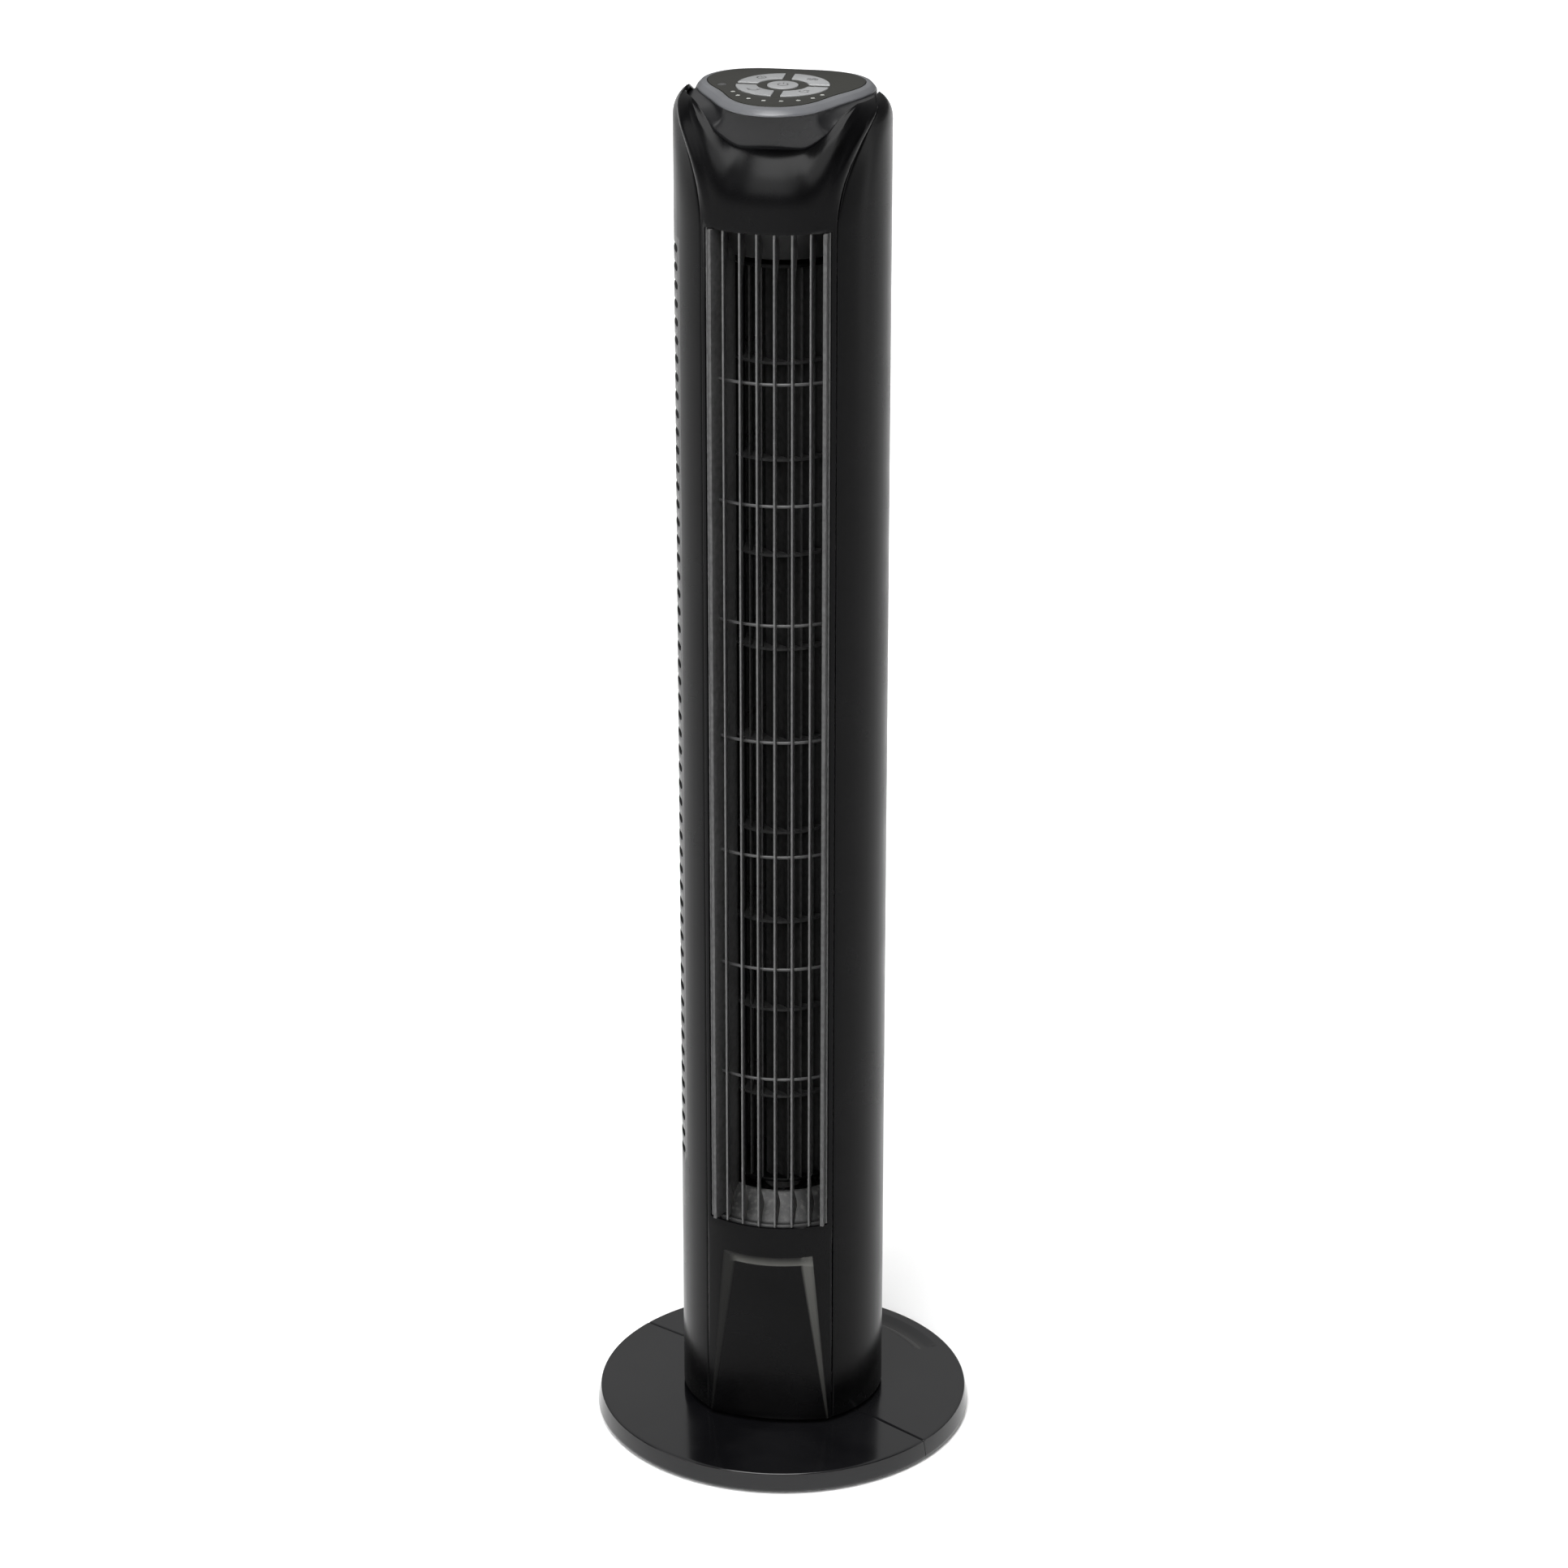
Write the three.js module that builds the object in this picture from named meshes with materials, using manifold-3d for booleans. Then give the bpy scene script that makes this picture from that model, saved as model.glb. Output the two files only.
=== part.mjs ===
// Tower fan: a slim upright body that swings from side to side on a round base.
// Millimetres. +Z is up, the fan blows towards -Y, and the origin is the floor point under the body's axis.
// Angles round the body are measured from the front (-Y) towards +X.
import * as THREE from "three";
import { mergeVertices } from "three/addons/utils/BufferGeometryUtils.js";
import Module from "manifold-3d";

const wasm = await Module();
wasm.setup();

const degree = Math.PI / 180;

// ---- driving dimensions ----
const gap = 0.3; // between pieces that rest on each other
const totalHeight = 762;
const bodyRadius = 56;
const wall = 2.2;
const bodyFacets = 36;
const inletFacets = 16; // of the slotted rear cover
const baseFacets = 40;
const ductFacets = 24;
const smallFacets = 16;

// base
const baseRadius = 105;
const baseHeight = 12.5; // floor to the top edge of the rim
const baseCrown = 1.5; // rise of the base from its rim to the middle
const baseWall = 3.2;
const rimWall = 2.5;
const rimBevel = 1.3;
const footHeight = 1.8;
const footRadius = 8;
const footCircle = baseRadius - 14;
const baseTurn = -31.5 * degree; // the base's own front, from the body's front
const pocketInner = baseRadius - 21.5;
const pocketOuter = baseRadius - 8;
const pocketDepth = 2;
const pocketHalfAngle = 25.5 * degree;

// body shells
const bodyLift = 4.5; // rim level to the lower edge of the body
const frontProud = 0.6; // front cover stands out from the rear cover
const seamInset = 21.5; // from the body's side to the seam beside the outlet
const seamHalfWidth = bodyRadius - seamInset;
const seamFlare = seamInset - 0.3; // widening of the front cover at the collar
const seamPower = 1.8;
const collarDrop = 2; // highest point of the collar below the keys
const frontDip = 18;
const backDip = 15;
const lipInset = 7; // how far the collar's lip curls in
const crownFront = 28;
const crownSide = 13;

// air outlet
const outletBottom = 138.8;
const outletTop = totalHeight - 63.3;
const outletHalfWidth = seamHalfWidth - 1.9;
const finCount = 8;
const finWidth = 1.5;
const finPitch = (2 * outletHalfWidth - 2.2) / (finCount - 1);
const railCount = 7;
const railFirst = outletTop - 80;
const railLast = outletBottom + 87.8;
const railHeight = 2;

// air inlet
const slotRows = 18; // each row stands for three rows of fine slots
const slotHeight = 12.6;
const slotColumns = 3;
const slotStartRight = 104 * degree; // from the front, on the side of the air guide
const slotStartLeft = 65 * degree;
const slotRib = 5 * degree;

// recess in the lower front: a flat-fronted hollow, wide at its foot and bevelled at its top and sides
const recessFootOuter = seamHalfWidth - 1.1;
const recessFootInner = recessFootOuter - 1.2;
const recessTopOuter = seamHalfWidth - 9.6;
const recessTopInner = recessTopOuter - 6.9;
const recessOuterTop = outletBottom - 17.8;
const recessInnerTop = recessOuterTop - 7;
const recessFootDepth = 4.9; // behind the front cover's foremost line
const recessTopDepth = 3;

// control deck
const keyProud = 0.6;
const keyTravel = 0.6;
const keyRing = 24;
const keyRingInner = 13.2;
const keyCentre = 8;
const keyDivide = 4.5; // between neighbouring ring keys
const panelThickness = 3.6;
const rimDrop = 2.9;
const facetInset = 17; // from the front of the body back to the flat front wall of the head
const lightCount = 8;
const lightPitch = 15.5 * degree;
const lightRadius = 1.2;
const lightCircle = keyRing + 9;

// impeller and duct
const ductLedge = bodyRadius - 22; // radius of the round well at each end of the duct
const ductRise = 13.6;
const ductFall = 20;
const ductClear = 3.2; // room for the grille between the duct and the shell
const wellDepth = 12.6;
const impellerRadius = ductLedge - 4;
const impellerBottom = outletBottom + 15.2;
const impellerTop = outletTop - 22.7;
const shaftRadius = 4;
const hubRadius = 10;
const bladeCount = 10;
const hoopCount = 3;

// swing drive
const postRadius = 12;
const shoulderRadius = 17;
const flangeRadius = 26;
const postTop = 39.8;
const plateHeight = 30.1; // lower face of the body's floor plate
const plateThickness = 3.5;
const swingAxis = 24; // body's axis to the swing motor's axis
const crankThrow = 16.8; // swing shaft to crank pin
const crankPin = 2.5;
const crankShaft = 3;
const slotPlay = 0.8;

// ---- derived heights ----
const bodyBottom = baseHeight + bodyLift;
const baseMiddle = baseHeight + baseCrown;
const deckTop = totalHeight - keyProud;
const panelBottom = deckTop - panelThickness;
const collarTop = totalHeight - collarDrop;
const innerRadius = bodyRadius - wall;
// Largest radius of what stands inside the shells, clear of the middles of their facets.
const fitRadius = innerRadius * Math.cos(Math.PI / inletFacets) - gap;
const slotBottom = impellerBottom + 10;
const slotTop = impellerTop + 6;
const slotPitch = (slotTop - slotBottom - slotHeight) / (slotRows - 1);
const railPitch = (railFirst - railLast) / (railCount - 1);

// ---- solids ----
function toSolid(geometry) {
  const bare = geometry.clone();
  bare.deleteAttribute("normal");
  bare.deleteAttribute("uv");
  const merged = mergeVertices(bare, 1e-4);
  const index = merged.index.array;
  const triangles = [];
  for (let i = 0; i < index.length; i += 3) {
    const [a, b, c] = [index[i], index[i + 1], index[i + 2]];
    if (a !== b && b !== c && c !== a) triangles.push(a, b, c);
  }
  const build = (list) =>
    new wasm.Manifold(
      new wasm.Mesh({
        numProp: 3,
        vertProperties: merged.attributes.position.array,
        triVerts: new Uint32Array(list),
      }),
    );
  const made = build(triangles);
  return made.volume() > 0 ? made : build(triangles.reverse());
}

function join(...solids) {
  return wasm.Manifold.union(solids.flat());
}

function smooth(value, from, to) {
  return THREE.MathUtils.smoothstep(value, from, to);
}

const at = (value, angle) => (typeof value === "function" ? value(angle) : value);

// Carries an outline round the Z axis. An outline point is [radius, height], and either may be a function
// of the angle from the front. An outline that doesn't begin and end on the axis closes on itself.
function turn(outline, segments = bodyFacets) {
  const open = outline[0][0] === 0 && outline.at(-1)[0] === 0;
  const loop = open ? outline : [...outline, outline[0]];
  const rows = loop.map((_, row) => new THREE.Vector2(1, row));
  const geometry = new THREE.LatheGeometry(rows, segments);
  const place = geometry.attributes.position;
  for (let column = 0; column <= segments; column++) {
    const angle = ((column % segments) / segments) * 2 * Math.PI;
    loop.forEach(([radius, height], row) => {
      const r = at(radius, angle);
      const vertex = column * loop.length + row;
      place.setXYZ(vertex, r * Math.sin(angle), -r * Math.cos(angle), at(height, angle));
    });
  }
  return toSolid(geometry);
}

function disc(radius, low, high, segments = 24) {
  return turn([[0, low], [radius, low], [radius, high], [0, high]], segments);
}

function ring(inner, outer, low, high, segments = bodyFacets) {
  return turn([[inner, low], [outer, low], [outer, high], [inner, high]], segments);
}

function block(lowX, highX, lowY, highY, lowZ, highZ) {
  const box = new THREE.BoxGeometry(highX - lowX, highY - lowY, highZ - lowZ);
  box.translate((lowX + highX) / 2, (lowY + highY) / 2, (lowZ + highZ) / 2);
  return toSolid(box);
}

// A flat outline in plan, carried up from low to high.
function pillar(shape, low, high, curveSegments = 8) {
  const solid = new THREE.ExtrudeGeometry(shape, {
    depth: high - low,
    bevelEnabled: false,
    curveSegments,
  });
  return toSolid(solid.translate(0, 0, low));
}

function outlineShape(points) {
  return new THREE.Shape(points.map(([x, y]) => new THREE.Vector2(x, y)));
}

// A flat outline seen from the front, x across and z up, carried back from the front face.
function frontCutter(points, depth = bodyRadius + 10) {
  const solid = new THREE.ExtrudeGeometry(outlineShape(points), { depth, bevelEnabled: false });
  return toSolid(solid.rotateX(Math.PI / 2));
}

function radial(solid, angle, radius, height) {
  return solid.translate([0, -radius, height]).rotate([0, 0, angle / degree]);
}

// A round bar along Y, its outer end at y = 0.
function barAlongY(radius, length, segments = 12) {
  return disc(radius, 0, length, segments).rotate([-90, 0, 0]);
}

// ---- pieces ----
const fan = new THREE.Group();

function material(color, roughness, metalness = 0) {
  return new THREE.MeshStandardMaterial({ color, roughness, metalness });
}

const finishes = {
  satin: material(0x1b1b1d, 0.42),
  gloss: material(0x0c0c0d, 0.12),
  rim: material(0x4a4b4e, 0.35),
  key: material(0xb9bbbd, 0.45),
  lens: material(0xdfe6ea, 0.2),
  inner: material(0x232325, 0.55),
  rubber: material(0x161616, 0.9),
  steel: material(0xb4b6b8, 0.3, 1),
  board: material(0x1f4a2e, 0.6),
  nylon: material(0xd9d6cc, 0.5),
  bronze: material(0xa9803f, 0.4, 1),
};

function addPart(group, name, solid, finish) {
  const { vertProperties, triVerts } = solid.getMesh();
  const geometry = new THREE.BufferGeometry();
  geometry.setAttribute("position", new THREE.BufferAttribute(vertProperties, 3));
  geometry.setIndex(new THREE.BufferAttribute(triVerts, 1));
  geometry.computeVertexNormals();
  const mesh = new THREE.Mesh(geometry, finishes[finish]);
  mesh.name = name;
  group.add(mesh);
}

function subGroup(x, y, z = 0) {
  const group = new THREE.Group();
  group.position.set(x, y, z);
  fan.add(group);
  return group;
}

// ---- base: two half discs, feet, pivot post, yoke ----
const baseTopAt = (radius) =>
  baseMiddle - baseCrown * THREE.MathUtils.clamp((radius - 60) / (baseRadius - rimBevel - 60), 0, 1);

function baseDisc() {
  const inside = baseRadius - rimWall;
  return turn(
    [
      [postRadius, baseMiddle],
      [60, baseMiddle],
      [baseRadius - rimBevel, baseHeight],
      [baseRadius, baseHeight - rimBevel],
      [baseRadius, footHeight],
      [inside, footHeight],
      [inside, baseHeight - baseWall],
      [60, baseMiddle - baseWall],
      [postRadius, baseMiddle - baseWall],
    ],
    baseFacets,
  );
}

// The half of the base disc on one side of the split; side is +1 for the half at the base's own front.
function halfSpace(side) {
  const reach = baseRadius + 5;
  const near = block(-reach, reach, -reach, -gap / 2, 0, 2 * baseHeight);
  const half = side > 0 ? near : near.rotate([0, 0, 180]);
  return half.rotate([0, 0, baseTurn / degree]);
}

function rearPocket() {
  const floor = baseTopAt(pocketInner) - pocketDepth;
  const recess = turn(
    [
      [pocketInner, baseMiddle + 1],
      [pocketInner, baseTopAt(pocketInner)],
      [pocketInner + pocketDepth, floor],
      [pocketOuter, floor],
      [pocketOuter, baseMiddle + 1],
    ],
    baseFacets,
  );
  const reach = baseRadius + 20;
  const side = reach * Math.tan(pocketHalfAngle);
  const sector = pillar(outlineShape([[0, 0], [side, reach], [-side, reach]]), 0, 30);
  return recess.intersect(sector.rotate([0, 0, baseTurn / degree]));
}

const footAngles = [0, 60, 120, 180, 240, 300].map((step) => baseTurn + step * degree);
const baseScrewAngles = [45, 135, 225, 315].map((step) => baseTurn + step * degree);
const baseScrewCircle = 21.3;
const screwRadius = 1.7;

function baseHalf(side) {
  const bosses = footAngles.map((angle) =>
    radial(disc(footRadius, footHeight + gap, baseHeight - 1, 12), angle, footCircle, 0),
  );
  const holes = baseScrewAngles.map((angle) =>
    radial(disc(screwRadius + gap, 0, baseMiddle + 1, 10), angle, baseScrewCircle, 0),
  );
  return join(baseDisc(), bosses).subtract(join(holes)).subtract(rearPocket()).intersect(halfSpace(side));
}

addPart(fan, "base_front_half", baseHalf(1), "gloss");
addPart(fan, "base_rear_half", baseHalf(-1), "gloss");

footAngles.forEach((angle, i) => {
  const foot = radial(disc(footRadius, 0, footHeight, 16), angle, footCircle, 0);
  addPart(fan, `foot_${i + 1}`, foot, "rubber");
});

const flangeTop = baseMiddle + gap + 3.5;
const cableBore = 8;

function pivotPost() {
  const body = turn(
    [
      [cableBore, baseMiddle + gap],
      [flangeRadius, baseMiddle + gap],
      [flangeRadius, flangeTop],
      [shoulderRadius, flangeTop],
      [shoulderRadius, plateHeight - 2.1],
      [postRadius, plateHeight - 2.1],
      [postRadius, postTop],
      [cableBore, postTop],
    ],
    smallFacets,
  );
  const holes = baseScrewAngles.map((angle) =>
    radial(disc(screwRadius + gap, baseMiddle, flangeTop - 1, 10), angle, baseScrewCircle, 0),
  );
  return body.subtract(join(holes));
}

addPart(fan, "pivot_post", pivotPost(), "nylon");

baseScrewAngles.forEach((angle, i) => {
  const underside = baseMiddle - baseWall - gap;
  const head = disc(3.5, underside - 2, underside, 10);
  const shank = disc(screwRadius, underside - 1, flangeTop - 1.5, 10);
  addPart(fan, `base_screw_${i + 1}`, radial(join(head, shank), angle, baseScrewCircle, 0), "steel");
});

function crankYoke() {
  const slotHalf = crankPin + slotPlay;
  const slotFrom = swingAxis + 2;
  const slotTo = swingAxis + crankThrow;
  const armHalf = slotHalf + 3.2;
  const low = flangeTop + gap;
  const high = low + 3;
  const hub = disc(shoulderRadius + 6, low, high, smallFacets);
  const arm = join(
    block(-armHalf, armHalf, 0, slotTo, low, high),
    disc(armHalf, low, high, 16).translate([0, slotTo, 0]),
  );
  const slot = join(
    block(-slotHalf, slotHalf, slotFrom, slotTo, low - 1, high + 1),
    disc(slotHalf, low - 1, high + 1, 16).translate([0, slotTo, 0]),
  );
  const bore = disc(shoulderRadius + gap, low - 1, high + 1, smallFacets);
  return join(hub, arm).subtract(join(slot, bore));
}

addPart(fan, "crank_yoke", crankYoke(), "nylon");
addPart(
  fan,
  "swivel_washer",
  ring(postRadius + gap, shoulderRadius, plateHeight - 1.8, plateHeight - gap, smallFacets),
  "nylon",
);
const floorTop = plateHeight + plateThickness;
addPart(
  fan,
  "retaining_ring",
  ring(postRadius + gap, 18, floorTop + gap, floorTop + gap + 3, smallFacets),
  "steel",
);

// ---- shells of the body ----
function fromFront(angle) {
  return Math.abs(THREE.MathUtils.euclideanModulo(angle + Math.PI, 2 * Math.PI) - Math.PI);
}

// The upper edge of the shells: low in front, highest at the sides and lower again behind.
function edgeHeight(angle) {
  const away = fromFront(angle);
  const front = frontDip * (1 - smooth(away, 22 * degree, 58 * degree));
  const back = backDip * smooth(away, 90 * degree, 125 * degree);
  return collarTop - front - back;
}

function crownDrop(angle) {
  const share = 1 - smooth(fromFront(angle), 20 * degree, 70 * degree);
  return crownSide + (crownFront - crownSide) * share;
}

// One point of the crown that curls in to the lip: a quarter ellipse, at share t of its turn.
function crownPoint(outer, depth, t) {
  const turned = (t * Math.PI) / 2;
  const radius = outer - lipInset + (lipInset - depth) * Math.cos(turned);
  const height = (angle) =>
    edgeHeight(angle) - crownDrop(angle) + (crownDrop(angle) - depth) * Math.sin(turned);
  return [radius, height];
}

function shell(outer, facets = bodyFacets) {
  const steps = [0, 0.25, 0.5, 0.75, 1];
  const outline = [
    [outer, bodyBottom],
    ...steps.map((t) => crownPoint(outer, 0, t)),
    ...steps.reverse().map((t) => crownPoint(outer, outer - innerRadius, t)),
    [innerRadius, bodyBottom],
  ];
  return turn(outline, facets);
}

// Half the width of the front cover at a height: straight beside the outlet, then flaring to the collar.
function seamHalf(height) {
  const share = THREE.MathUtils.clamp((height - outletTop) / (collarTop - outletTop), 0, 1.1);
  return seamHalfWidth + seamFlare * share ** seamPower;
}

function seamOutline(grow) {
  const heights = [bodyBottom - 5, outletTop];
  for (let step = 1; step <= 8; step++) heights.push(outletTop + ((totalHeight + 2 - outletTop) * step) / 8);
  const right = heights.map((height) => [seamHalf(height) + grow, height]);
  const left = right.map(([x, z]) => [-x, z]).reverse();
  return [...right, ...left];
}

// The hollow of the recess, open to the front. Its back is the face of the recess, its middle layer is the
// outline on the cover, and its front layer stands clear of the cover. It is wider and deeper by grow.
function recessHollow(grow = 0) {
  const box = new THREE.BoxGeometry(2, 2, 1, 6, 2, 2);
  const place = box.attributes.position;
  const outer = bodyRadius + frontProud;
  const lerp = THREE.MathUtils.lerp;
  for (let i = 0; i < place.count; i++) {
    const share = place.getZ(i) + 0.5;
    const layer = Math.round(place.getY(i));
    const top = layer > 0 ? recessInnerTop : recessOuterTop;
    const z = lerp(bodyBottom - 1, top + grow, share);
    const innerHalf = lerp(recessFootInner, recessTopInner, share);
    const outerHalf = lerp(recessFootOuter, recessTopOuter, share);
    const half = layer > 0 ? innerHalf : outerHalf;
    const x = place.getX(i) * (half + grow);
    const middle = outer - lerp(recessFootDepth, recessTopDepth, share);
    const edge = Math.sqrt(outer ** 2 - innerHalf ** 2) - recessTopDepth * share;
    const face = middle - (middle - edge) * place.getX(i) ** 2 - grow;
    const surface = Math.sqrt(outer ** 2 - (place.getX(i) * outerHalf) ** 2) - grow;
    place.setXYZ(i, x, layer > 0 ? -face : layer === 0 ? -surface : -outer - 5, z);
  }
  return toSolid(box);
}

const coverScrewHeights = [plateHeight + 7, outletBottom - 8, outletTop + 9];
const coverScrewAngles = [-150 * degree, 150 * degree];

function coverScrewHoles() {
  return join(
    coverScrewHeights.flatMap((height) =>
      coverScrewAngles.map((angle) => radial(barAlongY(1.9, 12, 10), angle, bodyRadius + 2, height)),
    ),
  );
}

function frontCover() {
  const opening = block(-outletHalfWidth, outletHalfWidth, -bodyRadius - 5, 0, outletBottom, outletTop);
  const front = frontCutter(seamOutline(-gap / 2));
  const full = disc(bodyRadius + frontProud, bodyBottom, outletBottom, bodyFacets);
  const backing = recessHollow(wall).intersect(full).intersect(front);
  const cover = join(shell(bodyRadius + frontProud).intersect(front), backing);
  return cover.subtract(join(recessHollow(), opening));
}

function inletSlots() {
  const rows = [];
  for (let row = 0; row < slotRows; row++) {
    const low = slotBottom + row * slotPitch;
    rows.push(ring(innerRadius - 3, bodyRadius + 3, low, low + slotHeight, inletFacets));
  }
  const pitch = (2 * Math.PI - slotStartRight - slotStartLeft + slotRib) / slotColumns;
  const reach = 2 * bodyRadius;
  const side = reach * Math.tan((pitch - slotRib) / 2);
  const sectors = [];
  for (let column = 0; column < slotColumns; column++) {
    const middle = slotStartRight + (column + 0.5) * pitch - slotRib / 2;
    const sector = pillar(outlineShape([[0, 0], [-side, -reach], [side, -reach]]), slotBottom - 5, collarTop);
    sectors.push(sector.rotate([0, 0, middle / degree]));
  }
  return join(rows).intersect(join(sectors));
}

const glandHeight = 78;
const glandRadius = 5;

function rearCover() {
  const glandHole = radial(barAlongY(glandRadius + gap, 12, 12), Math.PI, bodyRadius + 4, glandHeight);
  return shell(bodyRadius, inletFacets)
    .subtract(frontCutter(seamOutline(gap / 2)))
    .subtract(inletSlots())
    .subtract(join(coverScrewHoles(), glandHole));
}

addPart(fan, "front_cover", frontCover(), "satin");
addPart(fan, "rear_cover", rearCover(), "satin");

coverScrewHeights.forEach((height, level) => {
  coverScrewAngles.forEach((angle, side) => {
    const head = barAlongY(3.2, 1.5, 12);
    const shank = barAlongY(1.6, 7, 10);
    const screw = radial(join(head, shank), angle, bodyRadius + gap + 1.5, height);
    addPart(fan, `cover_screw_${level * 2 + side + 1}`, screw, "steel");
  });
});

// ---- outlet grille ----
const depthAt = (radius, x) => -Math.sqrt(radius ** 2 - x ** 2);

// A curved frame, upright fins whose ends are let into it, and level rails behind the fins.
function outletGrille() {
  const low = outletBottom - 4;
  const high = outletTop + 4;
  const inner = fitRadius - 2.7;
  const windowHalf = outletHalfWidth - 1.7;
  const frame = ring(inner, fitRadius, low, high)
    .intersect(block(-seamHalfWidth - 3, seamHalfWidth + 3, -bodyRadius, 0, low, high))
    .subtract(block(-windowHalf, windowHalf, -bodyRadius, 0, outletBottom, outletTop));
  const fins = [];
  for (let i = 0; i < finCount; i++) {
    const x = (i - (finCount - 1) / 2) * finPitch;
    const farSide = Math.abs(x) + finWidth / 2;
    const back = depthAt(inner + 1, farSide - finWidth);
    const front = depthAt(bodyRadius - gap, farSide);
    const tenonFront = depthAt(fitRadius - 1, farSide);
    fins.push(block(x - finWidth / 2, x + finWidth / 2, front, back, outletBottom + gap, outletTop - gap));
    fins.push(block(x - finWidth / 2, x + finWidth / 2, tenonFront, back, low + 1, high - 1));
  }
  const rails = [];
  for (let i = 0; i < railCount; i++) {
    const middle = railFirst - i * railPitch;
    rails.push(ring(inner + 0.2, fitRadius - 0.5, middle - railHeight / 2, middle + railHeight / 2));
  }
  const railSpan = block(-windowHalf - 1, windowHalf + 1, -bodyRadius, 0, outletBottom, outletTop);
  return join(frame, fins, join(rails).intersect(railSpan));
}

addPart(fan, "outlet_grille", outletGrille(), "inner");

// ---- duct round the impeller ----
const ductOuter = fitRadius - ductClear;
const skirtDepth = wellDepth + wall;

function ductBottom() {
  const skirt = ductOuter - wall;
  return turn(
    [
      [hubRadius + 1, outletBottom - skirtDepth],
      [ductLedge + wall, outletBottom - skirtDepth],
      [ductLedge + wall, outletBottom + ductRise - 3.6],
      [skirt, outletBottom - 2],
      [skirt, outletBottom - skirtDepth],
      [ductOuter, outletBottom - skirtDepth],
      [ductOuter, outletBottom],
      [ductLedge, outletBottom + ductRise],
      [ductLedge, outletBottom - wellDepth],
      [hubRadius + 1, outletBottom - wellDepth],
    ],
    ductFacets,
  );
}

const bearingSeat = 13;
const bearingFloor = impellerTop + 15.8;

function ductTop() {
  const skirt = ductOuter - wall;
  return turn(
    [
      [bearingSeat, bearingFloor],
      [ductLedge, bearingFloor],
      [ductLedge, outletTop - ductFall],
      [ductOuter, outletTop],
      [ductOuter, outletTop + skirtDepth],
      [skirt, outletTop + skirtDepth],
      [skirt, outletTop + 0.5],
      [ductLedge + wall, outletTop - ductFall + 5],
      [ductLedge + wall, bearingFloor + wall],
      [bearingSeat, bearingFloor + wall],
    ],
    ductFacets,
  );
}

// The space between the two end pieces of the duct, where the side walls of the duct stand.
function ductSpace() {
  return turn(
    [
      [0, outletBottom + ductRise + gap],
      [ductLedge, outletBottom + ductRise + gap],
      [ductOuter, outletBottom + gap],
      [ductOuter, outletTop - gap],
      [ductLedge, outletTop - ductFall - gap],
      [0, outletTop - ductFall - gap],
    ],
    ductFacets,
  );
}

// A wall of even thickness along a curve through plan points, bounded above and below by the duct's ends.
function ductWall(points) {
  const thickness = 1.8;
  const steps = 10;
  const curve = new THREE.CatmullRomCurve3(points.map(([x, y]) => new THREE.Vector3(x, y, 0)));
  const left = [];
  const right = [];
  curve.getPoints(steps).forEach((spot, i) => {
    const along = curve.getTangent(i / steps);
    const across = new THREE.Vector2(-along.y, along.x).multiplyScalar(thickness / 2);
    left.push([spot.x + across.x, spot.y + across.y]);
    right.push([spot.x - across.x, spot.y - across.y]);
  });
  return pillar(outlineShape([...left, ...right.reverse()]), outletBottom, outletTop).intersect(ductSpace());
}

// Plan point at a clearance from the impeller's tips, at an angle in degrees from the front.
function roundImpeller(clearance, angle) {
  const reach = impellerRadius + clearance;
  return [reach * Math.sin(angle * degree), -reach * Math.cos(angle * degree)];
}

const ductHalf = outletHalfWidth - 3;
const mouthDepth = bodyRadius - 6; // distance of the duct walls' front edges from the axis

function airGuide() {
  return ductWall([
    [ductHalf, -mouthDepth],
    [ductHalf + 2, 14 - mouthDepth],
    roundImpeller(9, 75),
    roundImpeller(7, 100),
    roundImpeller(5.5, 125),
    roundImpeller(4, 150),
  ]);
}

function cutoffTongue() {
  return ductWall([
    [-ductHalf, -mouthDepth],
    [-ductHalf + 5, 12 - mouthDepth],
    roundImpeller(4.2, -38),
    [-ductHalf - 1, 30 - mouthDepth],
    [-ductHalf - 13, 31 - mouthDepth],
  ]);
}

const screwHoles = coverScrewHoles();
addPart(fan, "duct_bottom", ductBottom().subtract(screwHoles), "inner");
addPart(fan, "duct_top", ductTop().subtract(screwHoles), "inner");
addPart(fan, "air_guide", airGuide(), "inner");
addPart(fan, "cutoff_tongue", cutoffTongue(), "inner");

// ---- impeller, its bearing and its motor, all on the body's axis ----
const motorRadius = impellerRadius + 5;
const motorBottom = 66;
const motorTop = 112;

function impeller() {
  const hoopInner = impellerRadius - 9;
  const hoops = [];
  for (let i = 1; i <= hoopCount; i++) {
    const middle = THREE.MathUtils.lerp(impellerBottom, impellerTop, i / (hoopCount + 1));
    hoops.push(ring(hoopInner, impellerRadius, middle - 0.8, middle + 0.8, smallFacets));
  }
  const blades = [];
  for (let i = 0; i < bladeCount; i++) {
    const [outer, inner] = [-impellerRadius + 1, -hoopInner - 1.2];
    const blade = block(-0.7, 0.7, outer, inner, impellerBottom + 1, impellerTop - 1);
    const tilted = blade.translate([0, hoopInner, 0]).rotate([0, 0, 28]).translate([0, -hoopInner, 0]);
    blades.push(tilted.rotate([0, 0, (360 * i) / bladeCount]));
  }
  const foot = disc(impellerRadius, impellerBottom, impellerBottom + 2, smallFacets);
  const head = disc(impellerRadius, impellerTop - 2, impellerTop, smallFacets);
  const hub = disc(hubRadius - 1, impellerTop - 12, impellerTop, 12);
  const bore = disc(shaftRadius + gap, impellerTop - 9, impellerTop + 1, 12);
  return join(foot, head, hub, hoops, blades).subtract(bore);
}

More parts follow.
